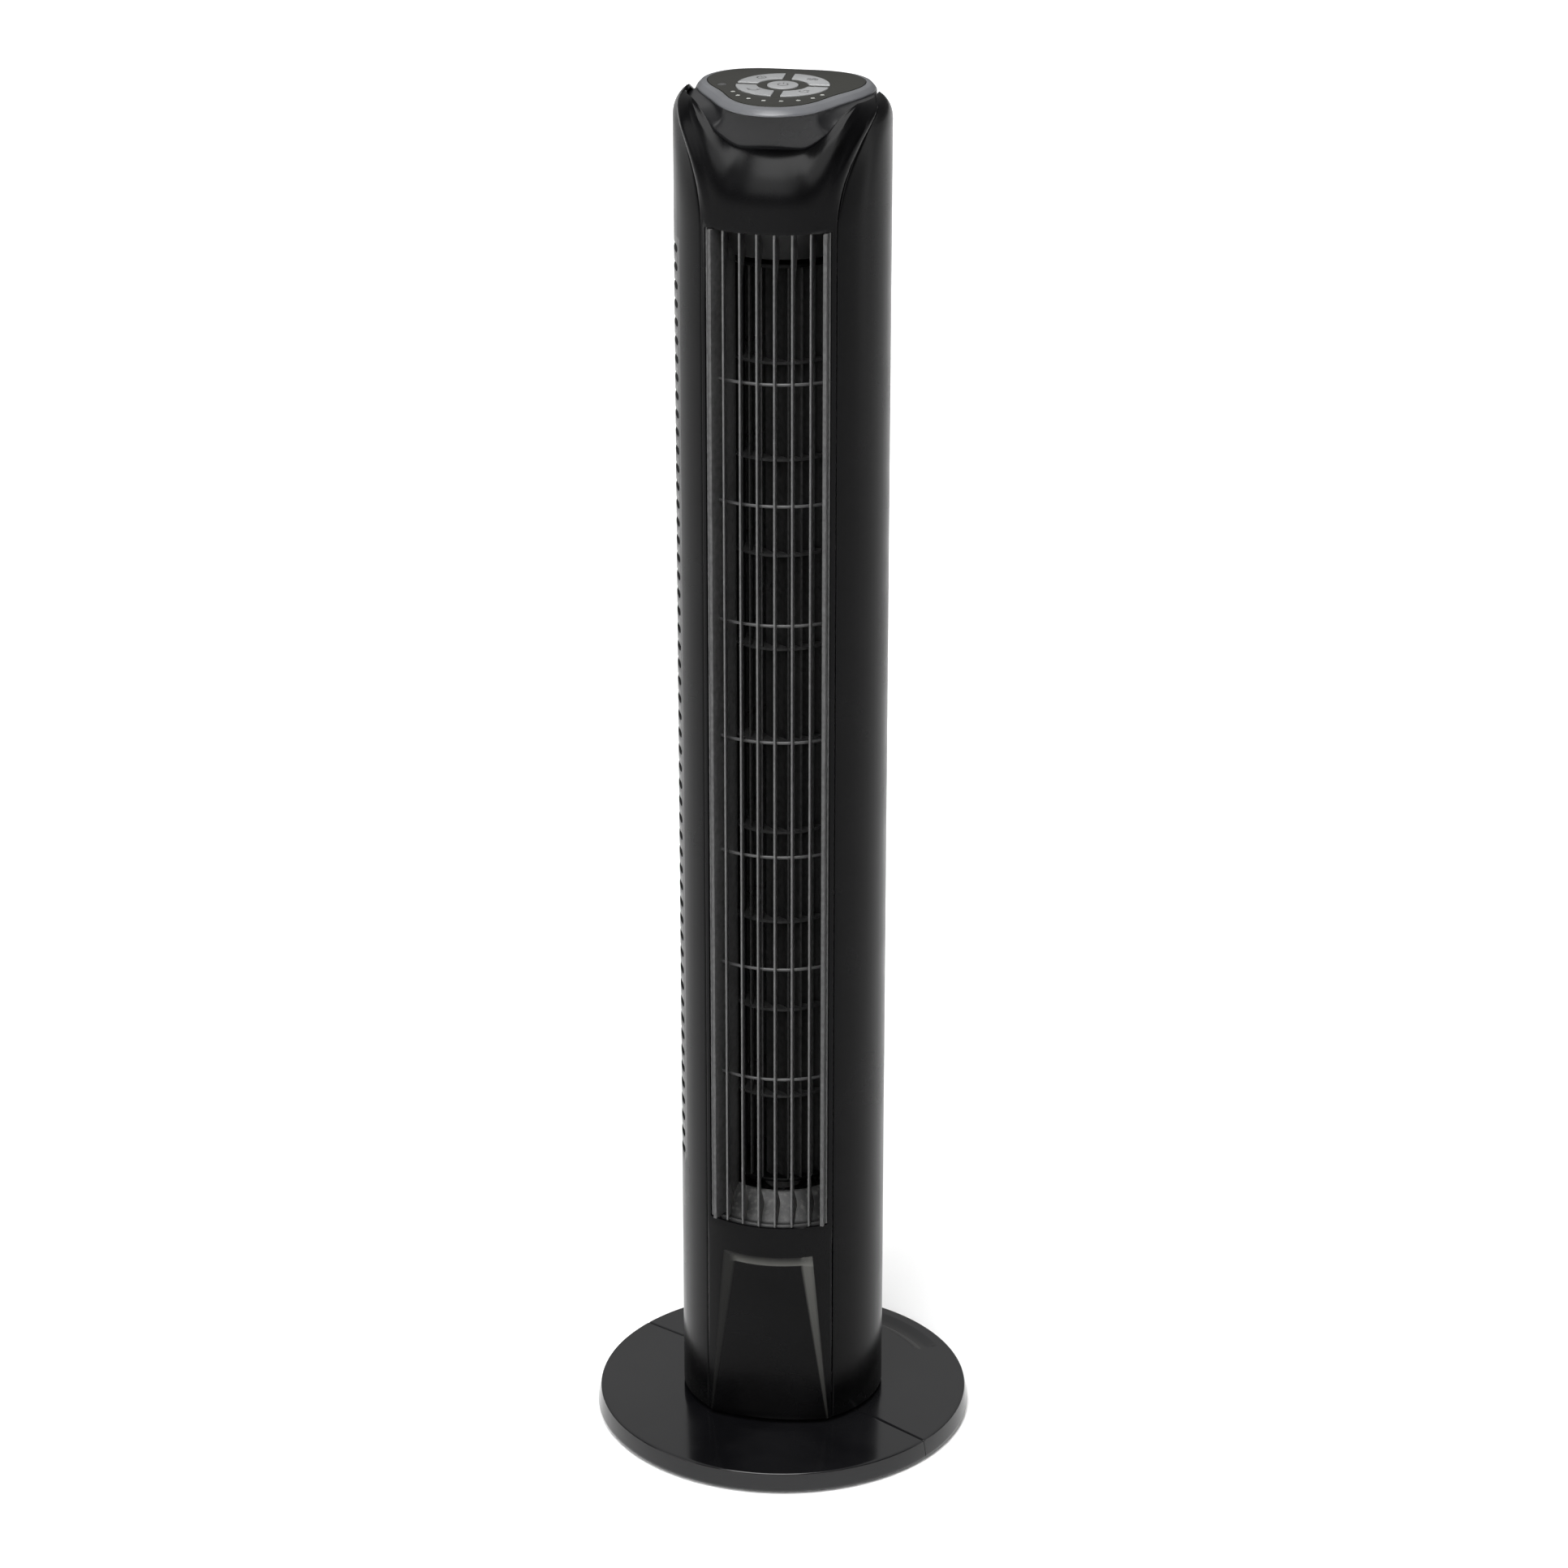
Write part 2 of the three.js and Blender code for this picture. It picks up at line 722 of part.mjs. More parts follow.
addPart(fan, "impeller", impeller(), "satin");
addPart(fan, "impeller_stub_shaft", disc(shaftRadius, impellerTop - 8, bearingFloor + 5, 16), "steel");
addPart(
  fan,
  "shaft_coupling",
  turn(
    [
      [0, impellerBottom - gap],
      [hubRadius, impellerBottom - gap],
      [hubRadius, impellerBottom - 14],
      [shaftRadius + gap, impellerBottom - 14],
      [shaftRadius + gap, impellerBottom - 3],
      [0, impellerBottom - 3],
    ],
    smallFacets,
  ),
  "rubber",
);
addPart(fan, "motor_shaft", disc(shaftRadius, motorBottom + 4, impellerBottom - 4, 16), "steel");

function bearingMount() {
  const low = bearingFloor - 4;
  return turn(
    [
      [8.3, low],
      [bearingSeat - gap, low],
      [bearingSeat - gap, bearingFloor + wall + gap],
      [bearingSeat + 3, bearingFloor + wall + gap],
      [bearingSeat + 3, bearingFloor + wall + gap + 2.5],
      [8.3, bearingFloor + wall + gap + 2.5],
    ],
    smallFacets,
  );
}

addPart(fan, "bearing_mount", bearingMount(), "rubber");
addPart(
  fan,
  "bearing_bush",
  ring(shaftRadius + gap, 8, bearingFloor - 4, bearingFloor + wall + 3, smallFacets),
  "bronze",
);

function mainMotor() {
  const bore = shaftRadius + gap;
  return turn(
    [
      [bore, motorBottom],
      [motorRadius - 6, motorBottom],
      [motorRadius - 3, motorBottom + 3],
      [motorRadius - 3, motorBottom + 12],
      [motorRadius, motorBottom + 12],
      [motorRadius, motorTop - 16],
      [motorRadius - 3, motorTop - 16],
      [motorRadius - 3, motorTop - 7],
      [motorRadius - 6, motorTop - 4],
      [13, motorTop - 4],
      [13, motorTop],
      [bore, motorTop],
    ],
    ductFacets,
  );
}

addPart(fan, "main_motor", mainMotor(), "steel");

// ---- floor plate and motor plate ----
const pillarCircle = fitRadius - 6.5;
const pillarAngles = [-50, 50, -140, 140].map((angle) => angle * degree);
const swingCan = fitRadius - swingAxis - 4;
const swingEar = swingCan + 4.5;
const swingBottom = plateHeight + 12;
const motorPlateLow = motorBottom - gap - 3;

function floorPlate() {
  const body = turn(
    [
      [postRadius + gap, plateHeight],
      [fitRadius, plateHeight],
      [fitRadius, floorTop + 8],
      [fitRadius - wall, floorTop + 8],
      [fitRadius - wall, floorTop],
      [postRadius + gap, floorTop],
    ],
    ductFacets,
  );
  const pillars = pillarAngles.map((angle) =>
    radial(disc(4, floorTop - 1, motorPlateLow - gap, 12), angle, pillarCircle, 0),
  );
  const ears = [-swingEar, swingEar].map((x) =>
    disc(5, floorTop - 1, swingBottom - gap, 12).translate([x, swingAxis, 0]),
  );
  const shaftHole = disc(4.5, plateHeight - 1, floorTop + 1, 12).translate([0, swingAxis, 0]);
  return join(body, pillars, ears).subtract(join(shaftHole, screwHoles, recessHollow(wall + gap)));
}

addPart(fan, "floor_plate", floorPlate(), "inner");

function motorPlate() {
  const plate = ring(14, fitRadius - 1, motorPlateLow, motorBottom - gap, ductFacets);
  return plate.subtract(recessHollow(wall + gap));
}

addPart(fan, "motor_plate", motorPlate(), "steel");

function capacitor() {
  const low = motorBottom + gap;
  return block(-13, 13, 3.5 - fitRadius, -motorRadius - 2, low, low + 28);
}

addPart(fan, "run_capacitor", capacitor(), "key");

function cordGland() {
  const flange = barAlongY(glandRadius + 2.5, 2.5, 16);
  const sleeve = barAlongY(glandRadius, 11, 16);
  const bore = barAlongY(3.4, 30, 12).translate([0, -10, 0]);
  return radial(join(flange, sleeve).subtract(bore), Math.PI, bodyRadius + gap + 2.5, glandHeight);
}

addPart(fan, "cord_gland", cordGland(), "rubber");

// ---- swing drive: motor on the floor plate, crank below it ----
const swingGroup = subGroup(0, swingAxis);

function swingMotor() {
  const can = disc(swingCan, swingBottom, swingBottom + 16, ductFacets);
  const ears = block(-swingEar - 4, swingEar + 4, -4, 4, swingBottom, swingBottom + 1.2);
  const bore = disc(crankShaft + gap, swingBottom - 1, swingBottom + 6, 12);
  return join(can, ears).subtract(bore);
}

function swingCrank() {
  const low = flangeTop + gap + 3 + 2.1;
  const high = low + 4.6;
  const hub = disc(5.8, low, high, 16);
  const arm = block(-4, 4, 0, crankThrow, low, high);
  const tip = disc(4, low, high, 16).translate([0, crankThrow, 0]);
  const pin = disc(crankPin, flangeTop - 1, low + 1, 12).translate([0, crankThrow, 0]);
  const bore = disc(crankShaft + gap, low - 1, high + 1, 12);
  return join(hub, arm, tip, pin).subtract(bore);
}

addPart(swingGroup, "swing_motor", swingMotor(), "steel");
addPart(swingGroup, "swing_motor_shaft", disc(crankShaft, flangeTop + gap + 4, swingBottom + 5, 12), "steel");
addPart(swingGroup, "swing_crank", swingCrank(), "nylon");

// ---- control deck ----
// Plan radius of the panel: a rounded triangle with its point forward.
const panelRadius = bodyRadius - 17;
const panelEdge = (angle) =>
  panelRadius - 0.9 * Math.cos(angle) + 1.1 * Math.cos(2 * angle) + 5.2 * Math.cos(3 * angle);
const rimEdge = (angle) => panelEdge(angle) + 4.9 + 1.8 * Math.cos(angle);
const offset = (edge, amount) => (angle) => edge(angle) + amount;
const keyStem = panelBottom - 5;
const keyFloor = panelBottom - 0.9;

const headFlat = bodyRadius - facetInset;
const headWall = wall;
const headFlange = 2;

function inFrontOf(y, high) {
  return block(-bodyRadius, bodyRadius, -bodyRadius, -y, 0, high);
}

// A flared shell whose front is flat and set back, so that the flange under the rim overhangs it.
function headHousing() {
  const foot = bodyRadius - lipInset - 2;
  const footHeightAt = (angle) => edgeHeight(angle) - 5;
  const innerFootAt = (angle) => edgeHeight(angle) - 8;
  const ledge = panelBottom - gap;
  const under = ledge - headFlange;
  const middle = collarTop - frontDip - 10;
  const outside = turn([[0, middle], [foot, footHeightAt], [offset(rimEdge, -0.4), ledge], [0, ledge]]);
  const inside = turn([
    [0, middle - 5],
    [foot - headWall, innerFootAt],
    [foot - headWall, footHeightAt],
    [offset(rimEdge, -2.6), under],
    [0, under],
  ]);
  const mouth = offset(panelEdge, -2);
  const opening = turn([[0, under - 1], [mouth, under - 1], [mouth, ledge + 1], [0, ledge + 1]]);
  const hollow = join(inside.subtract(inFrontOf(headFlat - headWall, under)), opening);
  return outside.subtract(inFrontOf(headFlat, under)).subtract(hollow);
}

function deckRim() {
  return turn([
    [offset(panelEdge, gap), panelBottom],
    [rimEdge, panelBottom],
    [rimEdge, deckTop - rimDrop],
    [offset(panelEdge, gap), deckTop],
  ]);
}

// The outline of one ring key, or of its opening in the panel, which is wider by the gap on every side.
function sectorKey(quarter, low, high, grow = 0) {
  const half = keyDivide / 2 - grow;
  const inner = keyRingInner - grow;
  const outer = keyRing + grow;
  const trim = (radius) => Math.asin(half / radius);
  const shape = new THREE.Shape();
  shape.absarc(0, 0, outer, trim(outer), Math.PI / 2 - trim(outer), false);
  shape.absarc(0, 0, inner, Math.PI / 2 - trim(inner), trim(inner), true);
  return pillar(shape, low, high, 5).rotate([0, 0, quarter * 90]);
}

const stemCircle = (keyRing + keyRingInner) / 2;
const keyPlaces = [0, 1, 2, 3].map((quarter) => {
  const angle = (quarter * 90 + 45) * degree;
  return [stemCircle * Math.cos(angle), stemCircle * Math.sin(angle)];
});

function lightPlace(i) {
  const angle = (i - (lightCount - 1) / 2) * lightPitch;
  const radius = lightCircle - 6 * (angle / (60 * degree)) ** 2;
  return [radius * Math.sin(angle), -radius * Math.cos(angle)];
}

const receiverPlace = [-lightCircle + 2, -2];

function lightStuds(radius, low, high) {
  const studs = [];
  for (let i = 0; i < lightCount; i++) {
    studs.push(disc(radius, low, high, 8).translate([...lightPlace(i), 0]));
  }
  return studs;
}

function controlPanel() {
  const low = panelBottom - 1;
  const high = totalHeight + 1;
  const plate = turn([[0, panelBottom], [panelEdge, panelBottom], [panelEdge, deckTop], [0, deckTop]]);
  const centre = disc(keyCentre + gap, low, high, 20);
  const sectors = [0, 1, 2, 3].map((quarter) => sectorKey(quarter, low, high, gap));
  const receiver = disc(2.5 + gap, low, high, 12).translate([...receiverPlace, 0]);
  return plate.subtract(join(centre, sectors, receiver, lightStuds(lightRadius + gap, low, high)));
}

addPart(fan, "head_housing", headHousing(), "gloss");
addPart(fan, "deck_rim", deckRim(), "rim");
addPart(fan, "control_panel", controlPanel(), "gloss");

const keyNames = ["key_mode", "key_timer", "key_swing", "key_speed"];
keyNames.forEach((name, quarter) => {
  const stem = disc(2, keyStem, keyFloor + 1, 10).translate([...keyPlaces[quarter], 0]);
  addPart(fan, name, join(sectorKey(quarter, keyFloor, totalHeight), stem), "key");
});
addPart(
  fan,
  "key_power",
  join(disc(keyCentre, keyFloor, totalHeight, 20), disc(2, keyStem, keyFloor + 1, 10)),
  "key",
);

function lightGuide() {
  const base = panelBottom - 2.6;
  const spots = [];
  for (let i = 0; i < lightCount; i++) spots.push(lightPlace(i));
  const band = [
    ...spots.map(([x, y]) => [x * 1.05, y * 1.05]),
    ...spots.map(([x, y]) => [x * 0.95, y * 0.95]).reverse(),
  ];
  return join(pillar(outlineShape(band), base, panelBottom - gap), lightStuds(lightRadius, base, deckTop));
}

addPart(fan, "light_guide", lightGuide(), "lens");
addPart(
  fan,
  "receiver_window",
  disc(2.5, panelBottom - 1.5, deckTop, 12).translate([...receiverPlace, 0]),
  "lens",
);

const switchTop = keyStem - keyTravel - gap;
const boardTop = switchTop - 3.5;

function circuitBoard() {
  const high = boardTop - gap;
  const edge = offset(panelEdge, -4);
  const board = turn([[0, high - 1.6], [edge, high - 1.6], [edge, high], [0, high]], ductFacets);
  return board.subtract(inFrontOf(headFlat - headWall - gap, high + 1));
}

addPart(fan, "circuit_board", circuitBoard(), "board");

[...keyPlaces, [0, 0]].forEach(([x, y], i) => {
  const body = block(x - 3, x + 3, y - 3, y + 3, boardTop, switchTop - 0.8);
  const plunger = disc(1.6, switchTop - 1.2, switchTop, 8).translate([x, y, 0]);
  addPart(fan, `tact_switch_${i + 1}`, join(body, plunger), "steel");
});

export default fan;
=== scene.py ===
# Tower fan on a round base. Metres; shapes are worked out in millimetres and scaled as they become meshes.
# +Z is up and the fan blows towards -Y. Angles round the body run from the front (-Y) towards +X.
import math

import bmesh
import bpy
import numpy as np
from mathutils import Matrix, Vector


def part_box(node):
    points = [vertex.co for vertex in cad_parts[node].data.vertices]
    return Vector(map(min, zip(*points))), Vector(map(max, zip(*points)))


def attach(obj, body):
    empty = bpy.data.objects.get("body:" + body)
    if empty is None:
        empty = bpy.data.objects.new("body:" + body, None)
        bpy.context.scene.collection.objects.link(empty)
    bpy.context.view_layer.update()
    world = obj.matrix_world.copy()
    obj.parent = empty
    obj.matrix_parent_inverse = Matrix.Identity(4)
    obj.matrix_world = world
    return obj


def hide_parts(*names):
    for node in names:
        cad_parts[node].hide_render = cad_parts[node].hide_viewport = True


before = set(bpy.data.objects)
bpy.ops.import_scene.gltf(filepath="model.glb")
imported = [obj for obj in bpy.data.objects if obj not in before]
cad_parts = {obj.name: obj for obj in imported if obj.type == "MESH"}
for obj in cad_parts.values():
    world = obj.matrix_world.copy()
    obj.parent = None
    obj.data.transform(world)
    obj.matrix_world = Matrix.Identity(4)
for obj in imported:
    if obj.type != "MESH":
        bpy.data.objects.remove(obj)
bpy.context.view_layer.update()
mm = 0.001
degree = math.pi / 180


# Lowest and highest corner of a frame node, in millimetres.
def span(node):
    low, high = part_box(node)
    return np.array(low) / mm, np.array(high) / mm


# Quads of a grid of rows x columns points, closed round the columns if wrap is set. keep is a mask of cells.
def gridFaces(rows, columns, wrap=False, keep=None):
    index = np.arange(rows * columns).reshape(rows, columns)
    right = np.roll(index, -1, axis=1)
    quads = np.stack([index[:-1], right[:-1], right[1:], index[1:]], axis=-1)
    if not wrap:
        quads = quads[:, :-1]
    if keep is not None:
        quads = quads[keep]
    return quads.reshape(-1, 4)


# A surface from a grid of points [rows, columns, 3].
def sheetOf(points, wrap=False, keep=None):
    rows, columns = points.shape[:2]
    return points.reshape(-1, 3), [tuple(q) for q in gridFaces(rows, columns, wrap, keep).tolist()]


# A closed body from rings of points: rows are carried as a tube and each end is closed by one flat face.
def loft(points):
    rows, columns = points.shape[:2]
    verts, faces = sheetOf(points, wrap=True)
    faces.append(tuple(range(columns))[::-1])
    faces.append(tuple(range((rows - 1) * columns, rows * columns)))
    return verts, faces


# Several surfaces as one.
def together(*surfaces):
    verts, faces, start = [], [], 0
    for points, quads in surfaces:
        verts.append(np.asarray(points, float))
        faces += [tuple(i + start for i in face) for face in quads]
        start += len(points)
    return np.concatenate(verts), faces


# Edges that turn by more than `crease` degrees stay sharp.
def markCreases(work, crease):
    for edge in work.edges:
        if len(edge.link_faces) == 2:
            edge.smooth = edge.calc_face_angle(0) < math.radians(crease)


# Makes the piece: doubles merged, normals outward, and smooth shading apart from the creases.
def makePiece(name, surface, body, finish, stands=(), closed=True, crease=32):
    verts, faces = surface
    mesh = bpy.data.meshes.new(name)
    mesh.from_pydata((np.asarray(verts) * mm).tolist(), [], faces)
    work = bmesh.new()
    work.from_mesh(mesh)
    bmesh.ops.remove_doubles(work, verts=work.verts, dist=2e-6)
    bmesh.ops.dissolve_degenerate(work, edges=work.edges, dist=1e-7)
    if closed:
        bmesh.ops.recalc_face_normals(work, faces=work.faces)
    for face in work.faces:
        face.smooth = True
    markCreases(work, crease)
    work.to_mesh(mesh)
    work.free()
    mesh.validate()
    piece = bpy.data.objects.new(name, mesh)
    bpy.context.scene.collection.objects.link(piece)
    mesh.materials.append(material(finish))
    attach(piece, body)
    if stands:
        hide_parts(*stands)
    return piece


# Thickness added on the inner side.
def addWall(piece, thickness):
    wall = piece.modifiers.new("Wall", "SOLIDIFY")
    wall.thickness = thickness * mm
    wall.offset = -1
    wall.use_quality_normals = True


# Rounds the edges that turn by more than an angle.
def addBevel(piece, width, segments, angle):
    bevel = piece.modifiers.new("Edges", "BEVEL")
    bevel.width = width * mm
    bevel.segments = segments
    bevel.limit_method = "ANGLE"
    bevel.angle_limit = math.radians(angle)
    bevel.harden_normals = False
    bevel.use_clamp_overlap = True


# Turns an open outline's faces so that they look away from the Z axis.
def faceAway(surface):
    points, quads = surface
    cells = points[np.array(quads)]
    normals = np.cross(cells[:, 2] - cells[:, 0], cells[:, 3] - cells[:, 1])
    middles = cells.mean(axis=1)
    outward = (normals[:, :2] * middles[:, :2]).sum()
    return surface if outward > 0 else (points, [q[::-1] for q in quads])


# Corners rounded off: each corner of an outline [[a, b, radius], ...] becomes a quadratic arc that starts and
# ends one radius from it.
def rounded(outline, steps=5, closed=True):
    spots = np.array([p[:2] for p in outline], float)
    radii = np.array([p[2] if len(p) > 2 else 0 for p in outline], float)
    line = []
    count = len(spots)
    for i in range(count):
        if radii[i] == 0 or (not closed and i in (0, count - 1)):
            line.append(spots[i][None])
            continue
        before = spots[i - 1] - spots[i]
        after = spots[(i + 1) % count] - spots[i]
        reach = min(radii[i], 0.49 * np.hypot(*before), 0.49 * np.hypot(*after))
        start = spots[i] + before / np.hypot(*before) * reach
        end = spots[i] + after / np.hypot(*after) * reach
        t = np.linspace(0, 1, steps)[:, None]
        line.append((1 - t) ** 2 * start + 2 * t * (1 - t) * spots[i] + t**2 * end)
    return np.concatenate(line)


# Lathe: an outline [radius, height] carried round Z. With radius 0 at both ends it closes on the axis,
# otherwise it closes on itself.
def lathe(outline, segments=96):
    line = np.asarray(outline, float)
    if not (line[0, 0] == 0 and line[-1, 0] == 0):
        line = np.concatenate([line, line[:1]])
    angle = np.arange(segments) / segments * 2 * math.pi
    radius = line[:, 0][:, None]
    height = np.broadcast_to(line[:, 1][:, None], (len(line), segments))
    return sheetOf(np.stack([radius * np.sin(angle), -radius * np.cos(angle), height], -1), wrap=True)


def moved(surface, x=0, y=0, z=0):
    return surface[0] + np.array([x, y, z]), surface[1]


# Round Z by an angle, from the front towards +X, after standing `radius` out at the front.
def around(surface, angle, radius=0):
    points = surface[0] + np.array([0, -radius, 0])
    c, s = math.cos(angle), math.sin(angle)
    turned = points @ np.array([[c, s, 0], [-s, c, 0], [0, 0, 1]])
    return turned, surface[1]


# Lays a lathe that stands on Z down along +Y, its top facing -Y.
def laidDown(surface):
    points = surface[0]
    return np.stack([points[:, 0], -points[:, 2], points[:, 1]], -1), surface[1]


# Unit vectors square to a plan line, from its direction at each point.
def squareTo(along):
    return np.stack([-along[:, 1], along[:, 0]], -1) / np.linalg.norm(along, axis=1)[:, None]


# A closed plan outline carried straight up between two heights.
def prism(plan, low, high):
    both = np.broadcast_to(plan, (2, len(plan), 2))
    level = np.broadcast_to(np.array([low, high])[:, None, None], (2, len(plan), 1))
    return loft(np.concatenate([both, level], -1))


# A section carried round Z and closed on itself, from its points [section, angle, 3].
def hoop(ring):
    return sheetOf(np.concatenate([ring, ring[:1]]), wrap=True)


# A flat outline in plan carried up to a rounded top: the rings step in by `inset` as they rise.
def slab(outline, low, high, edge=0.4, steps=4):
    line = np.asarray(outline, float)
    along = np.roll(line, -1, axis=0) - np.roll(line, 1, axis=0)
    area = (line[:, 0] * np.roll(line[:, 1], -1) - np.roll(line[:, 0], -1) * line[:, 1]).sum()
    inward = squareTo(along) * np.sign(area)
    turn = np.linspace(0, math.pi / 2, steps)
    insets = np.concatenate([[0.0], edge * (1 - np.cos(turn))])
    heights = np.concatenate([[low], high - edge + edge * np.sin(turn)])
    plan = line[None] + inward[None] * insets[:, None, None]
    level = np.broadcast_to(heights[:, None, None], plan.shape[:2] + (1,))
    return loft(np.concatenate([plan, level], -1))


# 0 before start, 1 after end, and 3t^2 - 2t^3 between them.
def smooth(value, start, end):
    t = np.clip((value - start) / (end - start), 0, 1)
    return t * t * (3 - 2 * t)


# Finishes: two colours that cloud into each other, roughness and its spread, grain size and depth in
# millimetres, gloss, paler rubbed edges, and where given dust, metal, brushing and a painted highlight
# colour.
finishes = {
    "satinBlack": dict(color=(0.0009, 0.0009, 0.001), second=(0.0016, 0.0016, 0.0018), rough=0.25,
                       spread=0.04, grain=0.45, relief=0.012, specular=0.07, wear=0.006),
    # discBlack's paler second colour is a painted highlight for the base pocket's inner bevel.
    "discBlack": dict(color=(0.0022, 0.0022, 0.0026), second=(0.004, 0.004, 0.0045), rough=0.14,
                      spread=0.04, grain=1.8, relief=0.003, specular=0.36, wear=0.008,
                      paintedHighlight=(0.045, 0.045, 0.043)),
    "headBlack": dict(color=(0.005, 0.005, 0.0055), second=(0.008, 0.008, 0.0085), rough=0.3, spread=0.06,
                      grain=0.6, relief=0.008, specular=0.26, wear=0.02),
    "panelBlack": dict(color=(0.009, 0.009, 0.007), second=(0.013, 0.013, 0.0105), rough=0.36, spread=0.06,
                       grain=0.6, relief=0.004, specular=0.12, wear=0.0),
    "ductBlack": dict(color=(0.008, 0.008, 0.008), second=(0.013, 0.013, 0.013), rough=0.42, spread=0.1,
                      grain=0.9, relief=0.01, specular=0.3, wear=0.02, dust=0.08),
    "innerBlack": dict(color=(0.006, 0.006, 0.006), second=(0.011, 0.011, 0.011), rough=0.42, spread=0.1,
                       grain=0.9, relief=0.01, specular=0.3, wear=0.02, dust=0.1),
    "wheelBlack": dict(color=(0.0008, 0.0008, 0.0008), second=(0.0018, 0.0018, 0.0018), rough=0.34,
                       spread=0.08, grain=0.8, relief=0.006, specular=0.06, wear=0.01),
    "finBlack": dict(color=(0.013, 0.013, 0.0135), second=(0.019, 0.019, 0.019), rough=0.36, spread=0.06,
                     grain=0.5, relief=0.006, specular=0.4, wear=0.03),
    "rimGrey": dict(color=(0.058, 0.06, 0.065), second=(0.075, 0.077, 0.082), rough=0.34, spread=0.05,
                    grain=0.35, relief=0.008, specular=0.45, wear=0.03),
    "keyGrey": dict(color=(0.145, 0.148, 0.15), second=(0.18, 0.183, 0.185), rough=0.42, spread=0.06,
                    grain=0.4, relief=0.008, specular=0.4, wear=0.04),
    "markDark": dict(color=(0.02, 0.02, 0.02), second=(0.035, 0.035, 0.035), rough=0.5, spread=0.05,
                     grain=0.3, relief=0.004, specular=0.4, wear=0.0),
    "markPale": dict(color=(0.22, 0.225, 0.21), second=(0.3, 0.305, 0.29), rough=0.4, spread=0.05,
                     grain=0.3, relief=0.004, specular=0.5, wear=0.0),
    "rubber": dict(color=(0.012, 0.012, 0.012), second=(0.022, 0.021, 0.02), rough=0.75, spread=0.08,
                   grain=0.5, relief=0.03, specular=0.3, wear=0.03, dust=0.12),
    "steel": dict(color=(0.5, 0.51, 0.52), second=(0.62, 0.62, 0.63), rough=0.3, spread=0.1,
                  grain=0.6, relief=0.01, specular=0.5, wear=0.0, dust=0.04, metal=1.0, brush=12),
    "nylon": dict(color=(0.55, 0.54, 0.49), second=(0.66, 0.65, 0.6), rough=0.45, spread=0.08,
                  grain=0.7, relief=0.01, specular=0.5, wear=0.02, dust=0.05),
    "bronze": dict(color=(0.38, 0.25, 0.1), second=(0.5, 0.34, 0.15), rough=0.42, spread=0.1,
                   grain=0.3, relief=0.02, specular=0.5, wear=0.0, metal=1.0),
    "board": dict(color=(0.012, 0.09, 0.035), second=(0.02, 0.13, 0.05), rough=0.35, spread=0.08,
                  grain=1.5, relief=0.01, specular=0.5, wear=0.0, dust=0.05),
    "capacitorCan": dict(color=(0.5, 0.5, 0.51), second=(0.58, 0.58, 0.58), rough=0.4, spread=0.08,
                         grain=0.6, relief=0.01, specular=0.5, wear=0.02, dust=0.05),
}
# coverBlack adds a painted highlight colour, laid on the front cover's recess bevels.
finishes["coverBlack"] = {**finishes["satinBlack"], "paintedHighlight": (0.075, 0.075, 0.07)}
dustColor = (0.24, 0.235, 0.225)
noiseSizes = {"cloud": 38, "speck": 2.6}
bumpStrength = 0.6
madeMaterials = {}


def link(tree, source, target):
    tree.links.new(source, target)


# Noise in object space; a brushed finish stretches it along Z.
def noiseOf(tree, coords, size, detail, stretch=1):
    place = tree.nodes.new("ShaderNodeMapping")
    place.inputs["Scale"].default_value = (1, 1, 1 / stretch)
    link(tree, coords.outputs["Object"], place.inputs["Vector"])
    noise = tree.nodes.new("ShaderNodeTexNoise")
    noise.inputs["Scale"].default_value = 1 / (size * mm)
    noise.inputs["Detail"].default_value = detail
    link(tree, place.outputs["Vector"], noise.inputs["Vector"])
    return noise.outputs["Fac"]


# A value's range low..high carried to outLow..outHigh, and held at its ends.
def spread(tree, value, low, high, outLow, outHigh):
    node = tree.nodes.new("ShaderNodeMapRange")
    for name, number in zip(("From Min", "From Max", "To Min", "To Max"), (low, high, outLow, outHigh)):
        node.inputs[name].default_value = number
    link(tree, value, node.inputs["Value"])
    return node.outputs["Result"]


def mixColor(tree, factor, first, second):
    node = tree.nodes.new("ShaderNodeMix")
    node.data_type = "RGBA"
    link(tree, factor, node.inputs["Factor"])
    for socket, value in ((node.inputs["A"], first), (node.inputs["B"], second)):
        if isinstance(value, tuple):
            socket.default_value = (*value, 1)
        else:
            link(tree, value, socket)
    return node.outputs["Result"]


def times(tree, first, second):
    node = tree.nodes.new("ShaderNodeMath")
    node.operation = "MULTIPLY"
    for socket, value in zip(node.inputs, (first, second)):
        if isinstance(value, (int, float)):
            socket.default_value = value
        else:
            link(tree, value, socket)
    return node.outputs["Value"]
